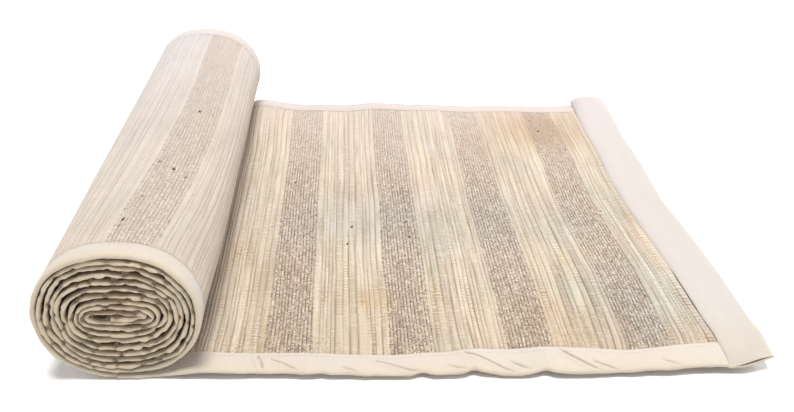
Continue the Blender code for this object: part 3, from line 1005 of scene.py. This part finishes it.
stripedWeave = buildWeaveMaterial()
wovenMat = buildWeave()
evaluateTree(wovenMat, buildReliefTree(), {
    "Rib Height": weaveLook["ribHeight"],
    "Fine Rib Height": weaveLook["fineRibHeight"],
    "Material": stripedWeave,
})
keepOffFloor(wovenMat, 0.00005)
print("woven mat made,", len(wovenMat.data.polygons), "faces")

# Dark knots spun into the yarn, raised on the stripes
slubLook = {"density": 480.0, "longest": 0.0020, "seed": 4}


def buildSlubTree():
    tree, given, out = startTree("yarnSlubs", (("Density", 700.0), ("Longest", 0.002), ("Seed", 1)))
    chosen = newNode(tree, "FunctionNodeBooleanMath", operation="AND")
    for socket, name in zip(chosen.inputs, ("shown", "fineRib")):
        above = newNode(tree, "FunctionNodeCompare", data_type="FLOAT", operation="GREATER_THAN")
        join(tree, namedValue(tree, name), above.inputs["A"])
        above.inputs["B"].default_value = 0.9
        join(tree, above.outputs[0], socket)
    points = newNode(tree, "GeometryNodeDistributePointsOnFaces")
    join(tree, given.outputs["Geometry"], points.inputs["Mesh"])
    join(tree, chosen.outputs[0], points.inputs["Selection"])
    for name in ("Density", "Seed"):
        join(tree, given.outputs[name], points.inputs[name])
    upright = newNode(tree, "FunctionNodeAlignRotationToVector", axis="Z")
    join(tree, points.outputs["Normal"], upright.inputs["Vector"])
    turned = newNode(tree, "FunctionNodeAlignRotationToVector", axis="Y", pivot_axis="Z")
    join(tree, upright.outputs[0], turned.inputs["Rotation"])
    turned.inputs["Vector"].default_value = (0.1, 1.0, 0.0)
    chance = newNode(tree, "FunctionNodeRandomValue", data_type="FLOAT")
    join(tree, given.outputs["Seed"], chance.inputs["Seed"])
    big = sumUp(tree, "POWER", chance.outputs[1], 4.0)
    length = times(tree, timesPlus(tree, big, 0.8, 0.2), given.outputs["Longest"])
    size = newNode(tree, "ShaderNodeCombineXYZ")
    for socket, share in zip(size.inputs, (0.55, 1.0, 0.30)):
        join(tree, times(tree, length, share), socket)
    placed = strewn(tree, points.outputs["Points"], 2, 1.0, turned.outputs[0], size.outputs[0])
    return endTree(tree, given, out, placed)


def buildSlubMaterial():
    made, tree, shader = startMaterial("slubYarn", 0.9, 0.1)
    place = newNode(tree, "ShaderNodeTexCoord").outputs["Object"]
    tone = noiseOn(tree, place, 260.0, 2.0)
    colour = mixed(tree, spreadOut(tree, tone, 0.38, 0.62), weaveColours["slub"], weaveColours["beadMid"])
    join(tree, colour, shader.inputs["Base Color"])
    bumpInto(tree, shader, noiseOn(tree, place, 1500.0, 2.0), 0.6, 0.0002)
    return made


# The largest ones: (x, y, half length)
largeSlubs = (
    (-0.2204, 0.0123, 0.0024), (-0.2315, 0.0740, 0.0014), (-0.2239, -0.1367, 0.0028),
    (-0.2386, -0.1251, 0.0017), (-0.2119, -0.1466, 0.0019), (-0.2410, -0.1973, 0.0016),
    (-0.2487, -0.2398, 0.0022), (-0.2496, -0.2500, 0.0018), (-0.2262, 0.1540, 0.0016),
    (-0.2215, 0.1620, 0.0014), (-0.0123, -0.2330, 0.0021), (-0.1011, -0.2087, 0.0016),
    (0.1986, 0.2474, 0.0022), (0.2036, 0.2100, 0.0026), (0.1120, 0.1011, 0.0022),
    (0.2278, 0.1488, 0.0019), (0.2313, -0.0227, 0.0020), (0.2265, -0.0927, 0.0016),
    (0.2142, -0.1330, 0.0016), (0.1968, -0.1587, 0.0018), (0.2300, -0.1967, 0.0016),
    (-0.0556, -0.0500, 0.0024), (-0.0606, -0.0870, 0.0020), (0.0050, -0.0400, 0.0020),
    (0.0070, -0.0730, 0.0024), (-0.0003, -0.1120, 0.0022), (-0.0087, -0.1270, 0.0019),
    (-0.0055, 0.0470, 0.0016), (-0.1230, 0.0630, 0.0018),
)


def buildLargeSlubs(material):
    rng = np.random.default_rng(9)
    bm = bmesh.new()
    for x, y, size in largeSlubs:
        _, spot, _, _ = wovenMat.ray_cast((x, y, 0.3), (0, 0, -1))
        made = bmesh.ops.create_icosphere(bm, subdivisions=2, radius=1.0)["verts"]
        bend = rng.uniform(-0.5, 0.5)
        for vert in made:
            a, b, c = vert.co * size
            vert.co = spot + Vector((0.62 * a + bend * b, b * 1.25, 0.42 * c))
    mesh = intoMesh("largeSlubs", bm)
    mesh.materials.append(material)
    mesh.shade_smooth()
    return placeObject("largeSlubs", mesh)


slubYarn = buildSlubMaterial()
slubs = evaluateTree(wovenMat, buildSlubTree(), {
    "Density": slubLook["density"],
    "Longest": slubLook["longest"],
    "Seed": slubLook["seed"],
    "Material": slubYarn,
}, "yarnSlubs")
knots = buildLargeSlubs(slubYarn)
print("slubs made,", len(slubs.data.polygons) + len(knots.data.polygons), "faces")

# Tapes: plain cotton folded over each long edge and wound up with it
tapeLook = {
    "columns": (31, 23),      # of the front and of the back tape
    "rise": 0.00235,          # of the tape's face over the mat's middle
    "frontStep": 0.00112,
    "backStep": 0.0016,
    "woundThinner": 0.00058,
    "woundFrom": 0.36, "pinchedFrom": 0.40,    # from the end of the flat part
    "foldReach": 0.011,
    "creaseHalf": 0.0013,     # half width of a crease, and where the ridge beside it lies
    "ridgeAway": 0.0030, "ridgeHalf": 0.0024,
    "pucker": 0.00034,
    "edgeWave": 0.0015,
    "pinches": (0.010, 0.028),     # from one pinch to the next in the roll
    "pinchDepth": (0.0008, 0.0021),
    "pinchReach": (0.0014, 0.0032),
}
# Section of a tape as (in from the fold, share of its rise), from the sewn edge to the fold
tapeSection = (
    (0.0286, 0.62), (0.0275, 0.70), (0.0258, 0.86), (0.0232, 0.98), (0.0205, 1.0), (0.0160, 1.0),
    (0.0115, 1.0), (0.0075, 1.0), (0.0048, 1.0), (0.0029, 0.97), (0.0016, 0.86), (0.0006, 0.58),
    (0.0001, 0.28),
)
tapeLining = ((0.0264, -0.60), (0.0040, -0.60), (0.0040, 0.60), (0.0264, 0.60))
# Notches where the front fold is drawn in: (from the seam, how deep, how long)
frontNotches = (
    (0.265, 0.0032, 0.0065), (0.221, 0.0040, 0.0060), (0.157, 0.0034, 0.0070), (0.352, 0.0014, 0.0060),
)
# Creases of the front tape: where each starts and ends (from the seam, in from the fold), and how deep it is
frontCreases = (
    (0.408, 0.023, 0.402, 0.003, 0.0017),
    (0.396, 0.018, 0.372, 0.002, 0.0015),
    (0.305, 0.018, 0.268, 0.001, 0.0020),
    (0.227, 0.024, 0.185, 0.002, 0.0020),
    (0.187, 0.014, 0.170, 0.004, 0.0011),
    (0.141, 0.025, 0.108, 0.001, 0.0020),
    (0.113, 0.013, 0.092, 0.001, 0.0015),
    (0.335, 0.008, 0.320, 0.001, 0.0009),
    (0.244, 0.010, 0.226, 0.002, 0.0009),
    (0.052, 0.012, 0.036, 0.001, 0.0008),
)


def creaseDepth(along, inwards, creases):
    # how far creases draw the tape in at distances along it and in from its fold; one side of each stands up
    t = tapeLook
    total = np.zeros(along.shape)
    for startAlong, startIn, endAlong, endIn, deep in creases:
        run = np.array([endAlong - startAlong, endIn - startIn])
        length = np.hypot(*run)
        run = run / length
        share = np.clip(((along - startAlong) * run[0] + (inwards - startIn) * run[1]) / length, 0, 1)
        missAlong = along - startAlong - share * length * run[0]
        missIn = inwards - startIn - share * length * run[1]
        off = np.hypot(missAlong, missIn)
        away = missIn * run[0] - missAlong * run[1]
        taper = np.sin(np.pi * np.clip(share * 0.8 + 0.15, 0, 1))
        ridge = hump(off, t["ridgeAway"], t["ridgeHalf"]) * (away > 0)
        total += deep * taper * (hump(off, 0, t["creaseHalf"]) - 0.6 * ridge)
    return total


def pinchLines(s, seed):
    # dents on the outer and on the inner side of the wound tape
    t = tapeLook
    rng = np.random.default_rng(seed)
    lines = {-1: np.zeros(len(s)), 1: np.zeros(len(s))}
    place = flatEnd + t["pinchedFrom"]
    while place < matLength:
        place += rng.uniform(*t["pinches"])
        side = rng.choice([-1, 1])
        deep = rng.uniform(*t["pinchDepth"])
        lines[side] += deep * hump(s, place, rng.uniform(*t["pinchReach"]))
    return lines


def tapeOutline(share):
    # in from the fold and height at a share of the way from the fold to the sewn edge, below where negative
    points = np.array([(0.0, 0.0)] + [(d, h) for d, h in reversed(tapeSection)])
    steps = np.hypot(np.diff(points[:, 0]), 0.0024 * np.diff(points[:, 1]))
    reached = np.concatenate([[0], np.cumsum(steps)])
    place = np.abs(share) * reached[-1]
    return np.interp(place, reached, points[:, 0]), np.sign(share) * np.interp(place, reached, points[:, 1])


def buildTape(name, side, step, seed, creases):
    t = tapeLook
    s = np.arange(-0.0004, matLength - 0.002, step)
    count = t["columns"][0 if creases else 1]
    evenly = np.linspace(1, -1, count)
    evenly = np.sign(evenly) * (0.55 * np.abs(evenly) + 0.45 * np.abs(evenly) ** 2)
    # in the flat part of the creased tape most columns lie on top
    onTop = np.concatenate([np.linspace(1, 0, count - 5), [-0.04, -0.10, -0.25, -0.6, -1.0]])
    toFlat = smooth((0.50 - s) / 0.04)[:, None] if creases else np.zeros((len(s), 1))
    inwards, high = tapeOutline(evenly * (1 - toFlat) + onTop * toFlat)
    inwards = np.hstack([inwards, np.broadcast_to([d for d, _ in tapeLining], (len(s), 4))])
    high = np.hstack([high, np.broadcast_to([h for _, h in tapeLining], (len(s), 4))])
    along = np.broadcast_to(s[:, None], inwards.shape)
    outer = np.broadcast_to(np.array([1.0] * count + [0.0] * 4), along.shape)
    upper = np.where(high >= 0, 1.0, -1.0)
    inRoll = smooth((along - flatEnd - t["woundFrom"]) / 0.08)
    nearFold = hump(inwards, 0, t["foldReach"])
    atFold = hump(inwards, 0, 0.0045)
    fullness = 1 + 0.05 * softNoise(along, 0.03, seed + 1) * (1 - inRoll)
    fullness = fullness + 0.16 * softNoise(along, 0.022, seed + 2) * inRoll
    rise = (t["rise"] - t["woundThinner"] * inRoll) * fullness
    slanted = softNoise(along + 0.35 * inwards * upper, 0.0075, seed + 5) * (0.5 + nearFold)
    slanted = slanted + 0.6 * softNoise(along - 0.8 * inwards + 0.3 * upper, 0.013, seed + 9)
    ridges = 1 - 2.2 * np.abs(softNoise(along + 0.5 * inwards * upper, 0.0058, seed + 12, 1))
    pucker = t["pucker"] * (slanted * (0.75 + 0.45 * inRoll) + 0.8 * ridges * inRoll * nearFold)
    pinches = pinchLines(s, seed + 30)
    dent = np.where(high >= 0, pinches[1][:, None], pinches[-1][:, None]) * hump(inwards, 0, 0.012)
    offset = rise * high + np.sign(high) * (pucker - dent) * outer
    if creases:
        offset = offset - creaseDepth(along, inwards, creases) * outer * (high > 0.1)
    # the fold is scalloped, and drawn in and out where it is wound
    edge = t["edgeWave"] * softNoise(along, 0.015, seed + 20) * (1 - 0.3 * inRoll)
    loose = 0.0017 * softNoise(along, 0.028, seed + 21) + 0.0008 * softNoise(along, 0.006, seed + 23)
    edge = edge + loose * inRoll
    edge = edge + 0.0012 * np.maximum(pinches[1], pinches[-1])[:, None] / t["pinchDepth"][1]
    if creases:
        edge = edge + sum(deep * hump(along, place, reach) for place, deep, reach in frontNotches)
    wound = smooth((along - flatEnd - 0.02) / 0.05)
    shifted = inwards + edge * nearFold * outer - 0.0008 * nearFold * wound
    droop = -0.0006 * (1 - wound) * softNoise(along, 0.024, seed + 24) * nearFold
    grid = onMat(along, side * (half - shifted), offset + droop)
    # painted shade: darker deeper in from the fold in the roll, in the gaps between turns
    deep = smooth((inwards - 0.0012) / 0.0060) * smooth((along - flatEnd - t["pinchedFrom"]) / 0.03)
    past = smooth((along - flatEnd + 0.01) / 0.03)
    # the fold and the wound tape are yellowed, partly as wear and partly as painted warm shade; in the flat
    # part the tape near its fold is yellowed too
    wearAndShade = np.maximum(atFold * 0.8, inRoll) * past
    wearAndShade = wearAndShade + 0.50 * nearFold * (1 - past)
    # painted shade along the creases, darkest in their middles
    creaseShade = np.clip(creaseDepth(along, inwards, creases) / 0.0014, 0, 1) ** 1.3 * (high > 0.1) * outer
    order = slice(None, None, side)
    made = gridMesh(name, grid[:, order])
    clothMap(made, along[:, order], inwards[:, order])
    for key, values in (("wearAndShade", wearAndShade), ("creaseShade", creaseShade), ("deep", deep)):
        pointValues(made, key, values[:, order])
    made.data.materials.append(tapeCotton)
    return made


frontTape = buildTape("frontTape", -1, tapeLook["frontStep"], 40, frontCreases)
backTape = buildTape("backTape", 1, tapeLook["backStep"], 80, ())
print("tapes made,", len(frontTape.data.polygons), "and", len(backTape.data.polygons), "faces")

# The band over the free end: a flat sleeve, sewn along its inner edge and open at both ends
bandLook = {
    "rows": 260,
    "thickness": 0.0008,
    "farMouth": 0.0075, "mouthReach": 0.050,
    "nearLens": (0.0012, 0.0024),          # height of the near mouth at its sides and between them
    "nearReach": 0.024,
    "nearShorter": 0.09,                   # how much narrower the band is at its near end
    "gapFrom": 0.018, "gapTo": 0.165,      # where the seam stands off, from the front edge
    "ripple": 0.00036,
    "runsOn": (0.0035, 0.0050),            # how far its far end does, at the seam and more at the fold
    "lowerShows": 0.0016,                  # how far the lower layer runs on at the near mouth
}
# Its section: share of the width out from the seam, height, share of the gaping; over the top and back below
bandSection = (
    (0.004, 0.00340, 0.40), (0.010, 0.00395, 0.52), (0.028, 0.00440, 0.60), (0.075, 0.00455, 0.75),
    (0.150, 0.00455, 0.90), (0.230, 0.00450, 0.98), (0.310, 0.00430, 1.00), (0.390, 0.00370, 1.00),
    (0.470, 0.00315, 1.00), (0.560, 0.00290, 0.96), (0.650, 0.00285, 0.90), (0.740, 0.00280, 0.80),
    (0.830, 0.00270, 0.62), (0.900, 0.00260, 0.42), (0.950, 0.00240, 0.25), (0.982, 0.00200, 0.10),
    (0.997, 0.00130, 0.00), (0.990, 0.00060, 0.00), (0.960, 0.00010, 0.00), (0.850, 0.00000, 0.00),
    (0.600, 0.00000, 0.00), (0.300, 0.00000, 0.00), (0.050, 0.00000, 0.00), (0.006, 0.00005, 0.00),
)


def buildBand():
    b = bandLook
    width = mat["bandWidth"]
    even = np.linspace(0, 1, b["rows"])
    y = -half + mat["width"] * (0.55 * (0.5 - 0.5 * np.cos(np.pi * even)) + 0.45 * even)
    out, high, gapes = (np.array(values) for values in zip(*bandSection))
    out = out * width
    inX, inZ = np.gradient(high), -np.gradient(out)
    size = np.hypot(inX, inZ)
    liningOut = np.clip(out + inX / size * b["thickness"], 0.0004, width - 0.001)
    liningHigh = high + inZ / size * b["thickness"]
    place, outwards = np.meshgrid(y, np.concatenate([out, liningOut[::-1]]), indexing="ij")
    height = np.broadcast_to(np.concatenate([high, liningHigh[::-1]]), place.shape)
    opens = np.broadcast_to(np.concatenate([gapes, gapes[::-1]]), place.shape)
    fromFront, fromBack = place + half, half - place
    gape = b["farMouth"] * smooth(1 - fromBack / b["mouthReach"])
    top = smooth((height - 0.0008) / 0.0012)
    # the near mouth is a lens: closed at the seam and at the outer fold
    lens = b["nearLens"][0] + b["nearLens"][1] * np.sin(np.pi * np.clip(out / width * 1.1 - 0.1, 0, 1)) ** 1.2
    upper = (lens - high) * smooth((high - 0.0016) / 0.0010) * (np.arange(len(high)) < 16)
    height = height + np.concatenate([upper, upper[::-1]]) * smooth(1 - fromFront / b["nearReach"])
    ripple = softNoise(place + 0.4 * outwards, 0.055, 61) + 0.6 * softNoise(place - 0.7 * outwards, 0.021, 62)
    ripple = b["ripple"] * ripple * np.sin(np.pi * np.clip(outwards / width, 0, 1)) ** 0.7
    # the seam stands off over a length near the front and is pulled down flush elsewhere
    stands = smooth((fromFront - b["gapFrom"]) / 0.02) * smooth((b["gapTo"] - fromFront) / 0.03)
    drawn = (0.0008 * stands - 0.0006) * hump(outwards, 0, 0.003)
    height = height - 0.0008 * (1 - stands) * hump(outwards, 0, 0.0035) * top
    edge = 0.0011 * softNoise(place, 0.09, 66) * smooth(outwards / width)
    shorter = 1 - b["nearShorter"] * hump(fromFront, 0, 0.022)
    x = seamX + 0.0007 + outwards * shorter * (width - 0.0007) / width + drawn + edge
    bowX, bowY = bowed(x, place)
    z = height + opens * gape + top * ripple + liftAt(x, place)
    # the far end runs on a little, more so outwards, and the lower layer shows under the near mouth
    bowY = bowY + (b["runsOn"][0] + b["runsOn"][1] * outwards / width) * smooth(1 - fromBack / 0.05)
    bowY = bowY - b["lowerShows"] * (1 - top) * smooth(1 - fromFront / 0.02) * smooth(outwards / 0.01)
    made = gridMesh("endBand", np.stack([bowX, bowY, np.maximum(z, 0.0001)], axis=-1))
    clothMap(made, place, outwards)
    # yellowed where the lower layer shows under the near mouth, partly as wear and partly as painted shade
    # under the top layer, and more lightly over the near half of the top, as wear
    wearAndShadeBelow = 0.9 * smooth(1 - fromFront / 0.02) * (1 - top)
    pointValues(made, "wearAndShade", wearAndShadeBelow + 0.4 * smooth(1 - fromFront / 0.12) * top)
    # painted shade on the band's inner faces, inside the sleeve
    inside = np.broadcast_to(np.arange(len(out) * 2) >= len(out), place.shape)
    pointValues(made, "deep", inside * smooth((fromFront - 0.001) / 0.006))
    made.data.materials.append(bandCotton)
    return made


endBand = buildBand()
print("band made,", len(endBand.data.polygons), "faces")

# Seams: short stitches along the tapes' sewn edges and the band's
stitchLook = {
    "pitch": 0.0036, "length": 0.0024, "thick": 0.00042,
    "proud": 0.00006,         # how far their middles lie over the tape
    "inFromEdge": 0.0226,     # of the tapes
    "bandIn": 0.0030,         # out from the band's seam
    "bandHigh": 0.00452,
}


def buildStitchTree():
    tree, given, out = startTree("seamStitches", (("Pitch", 0.004), ("Length", 0.003), ("Thickness", 0.0005)))
    line = newNode(tree, "GeometryNodeMeshToCurve")
    join(tree, given.outputs["Geometry"], line.inputs["Mesh"])
    spaced = newNode(tree, "GeometryNodeResampleCurve", mode="LENGTH")
    join(tree, line.outputs[0], spaced.inputs["Curve"])
    join(tree, given.outputs["Pitch"], spaced.inputs["Length"])
    turned = newNode(tree, "FunctionNodeAlignRotationToVector", axis="X")
    join(tree, newNode(tree, "GeometryNodeInputTangent").outputs[0], turned.inputs["Vector"])
    size = newNode(tree, "ShaderNodeCombineXYZ")
    for socket, name in zip(size.inputs, ("Length", "Thickness", "Thickness")):
        join(tree, given.outputs[name], socket)
    placed = strewn(tree, spaced.outputs[0], 1, 0.5, turned.outputs[0], size.outputs[0])
    return endTree(tree, given, out, placed)


def seamObject(name, lines):
    # an object of open lines of points
    points, edges = [], []
    for line in lines:
        edges += [(len(points) + k, len(points) + k + 1) for k in range(len(line) - 1)]
        points += [tuple(point) for point in line]
    mesh = bpy.data.meshes.new(name)
    mesh.from_pydata(points, edges, [])
    return placeObject(name, mesh)


def buildSeams():
    t = stitchLook
    flat = np.arange(0.004, flatEnd - 0.05, 0.002)
    turn = np.arange(flatEnd - 0.02, flatEnd + 0.40, 0.002)
    lines = []
    over = tapeLook["rise"] + t["proud"]
    for side in (-1, 1):
        across = side * (half - t["inFromEdge"])
        for run, off in ((flat, over), (turn, -over)):
            lines.append(onMat(run, np.full(len(run), across), np.full(len(run), off)))
    y = np.linspace(0.006 - half, half - 0.006, 300)
    x = np.full(len(y), seamX + t["bandIn"])
    bowX, bowY = bowed(x, y)
    lines.append(np.stack([bowX, bowY, t["bandHigh"] + liftAt(x, y)], axis=-1))
    return evaluateTree(seamObject("seamStitches", lines), buildStitchTree(), {
        "Pitch": t["pitch"], "Length": t["length"], "Thickness": t["thick"], "Material": buildThread(),
    })


def buildThread():
    made, tree, shader = startMaterial("seamThread", 0.7, 0.1)
    place = newNode(tree, "ShaderNodeTexCoord").outputs["Object"]
    tone = noiseOn(tree, place, 300.0, 1.0)
    colour = mixed(tree, spreadOut(tree, tone, 0.4, 0.6), cotton["tape"]["base"], cotton["band"]["warm"])
    # painted light towards the far edge and on top of the roll
    colour = paintedFarLightCloth(tree, place, colour, cotton["paintedFarLight"], cotton["paintedTopLight"])
    join(tree, colour, shader.inputs["Base Color"])
    bumpInto(tree, shader, noiseOn(tree, place, 2400.0, 1.0), 0.5, 0.0001)
    return made


stitches = buildSeams()
print("stitches made,", len(stitches.data.polygons), "faces")

# Floor, light and camera
studio = {
    "floor": (0.93, 0.93, 0.93),
    "sunTilt": 4, "sunTurn": 150, "sunAngle": 22, "sunStrength": 3.4,      # degrees, and its strength
    "sunColour": (1.0, 0.985, 0.965),
    "panelColour": (1.0, 0.97, 0.97),
    "panels": (
        {"from": (0.05, 1.25, 1.0), "at": (0.0, 0.25, 0.0), "size": 1.1, "power": 6.0},
        {"from": (1.30, -0.10, 0.75), "at": (-0.1, 0.0, 0.05), "size": 0.9, "power": 10.0},
        {"from": (-1.25, -0.15, 0.45), "at": (-0.3, -0.1, 0.0), "size": 0.8, "power": 3.0},
        {"from": (-0.25, -1.50, 0.34), "at": (-0.25, -0.3, 0.05), "size": 0.55, "power": 2.2},
    ),
    "world": 0.385,
    "worldColour": (0.97, 0.97, 1.0),
    # camera as fitted to the photo: place from the roll's middle and the front edge, in mat widths
    "from": (0.3165, -1.0036, 0.8019), "pitch": 27.996, "yaw": 3.300, "tip": -0.615, "focal": 890.03,
    "frameWide": 794,
    "aside": -0.001,          # from the fit to the built roll, in metres
}


def turnTowards(made, direction):
    made.rotation_mode = "QUATERNION"
    made.rotation_quaternion = Vector(direction).to_track_quat("Z", "Y")


def buildStudio():
    world = bpy.data.worlds.new("studioWorld")
    bpy.context.scene.world = world
    world.use_nodes = True
    sky = world.node_tree.nodes["Background"]
    sky.inputs["Color"].default_value = (*studio["worldColour"], 1)
    sky.inputs["Strength"].default_value = studio["world"]
    bm = bmesh.new()
    bmesh.ops.create_grid(bm, x_segments=2, y_segments=2, size=12)
    floor = placeObject("studioFloor", intoMesh("studioFloor", bm))
    paint = bpy.data.materials.new("floorPaint")
    paint.use_nodes = True
    shader = paint.node_tree.nodes["Principled BSDF"]
    shader.inputs["Base Color"].default_value = (*studio["floor"], 1)
    shader.inputs["Roughness"].default_value = 0.9
    shader.inputs["Specular IOR Level"].default_value = 0.0
    floor.data.materials.append(paint)
    light = bpy.data.lights.new("softSun", "SUN")
    light.energy = studio["sunStrength"]
    light.angle = math.radians(studio["sunAngle"])
    light.color = studio["sunColour"]
    sun = placeObject("softSun", light)
    tilt, turn = math.radians(studio["sunTilt"]), math.radians(studio["sunTurn"])
    turnTowards(sun, (math.sin(turn) * math.sin(tilt), math.cos(turn) * math.sin(tilt), math.cos(tilt)))
    for given in studio["panels"]:
        light = bpy.data.lights.new("softPanel", "AREA")
        light.energy = given["power"]
        light.size = given["size"]
        light.color = studio["panelColour"]
        panel = placeObject("softPanel", light)
        panel.location = given["from"]
        turnTowards(panel, Vector(given["from"]) - Vector(given["at"]))


def buildCamera():
    data = bpy.data.cameras.new("photoCamera")
    data.sensor_fit = "HORIZONTAL"
    data.sensor_width = 36.0
    data.lens = studio["focal"] * data.sensor_width / studio["frameWide"]
    data.clip_start, data.clip_end = 0.01, 50
    camera = placeObject("photoCamera", data)
    right, ahead, up = (value * mat["width"] for value in studio["from"])
    middle = rollX + 0.5 * mat["skew"] + studio["aside"]
    camera.location = (middle + right, centreY - half + ahead, up)
    pitch, yaw, tip = (math.radians(studio[key]) for key in ("pitch", "yaw", "tip"))
    forward = Vector((math.sin(yaw) * math.cos(pitch), math.cos(yaw) * math.cos(pitch), -math.sin(pitch)))
    level = Vector((math.cos(yaw), -math.sin(yaw), 0))
    down = forward.cross(level)
    turn = camera.matrix_world.to_3x3()
    turn.col[0] = math.cos(tip) * level + math.sin(tip) * down
    turn.col[1] = math.sin(tip) * level - math.cos(tip) * down
    turn.col[2] = -forward
    camera.rotation_mode = "QUATERNION"
    camera.rotation_quaternion = turn.to_quaternion()
    bpy.context.scene.camera = camera


buildStudio()
buildCamera()
bpy.context.scene.view_settings.view_transform = "Standard"
print("studio and camera made")

for piece in (frontTape, backTape, endBand, stitches):
    keepOffFloor(piece, 0.00002)
for piece, node, slot in (
    (wovenMat, "mat_body", "striped_weave"),
    (frontTape, "front_edge_tape", "tape_cotton"),
    (backTape, "back_edge_tape", "tape_cotton"),
    (endBand, "end_band", "band_cotton"),
):
    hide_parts(node)
for piece in (wovenMat, frontTape, backTape, endBand, slubs, knots, stitches):
    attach(piece, "root")

print("pieces fastened to the frame")
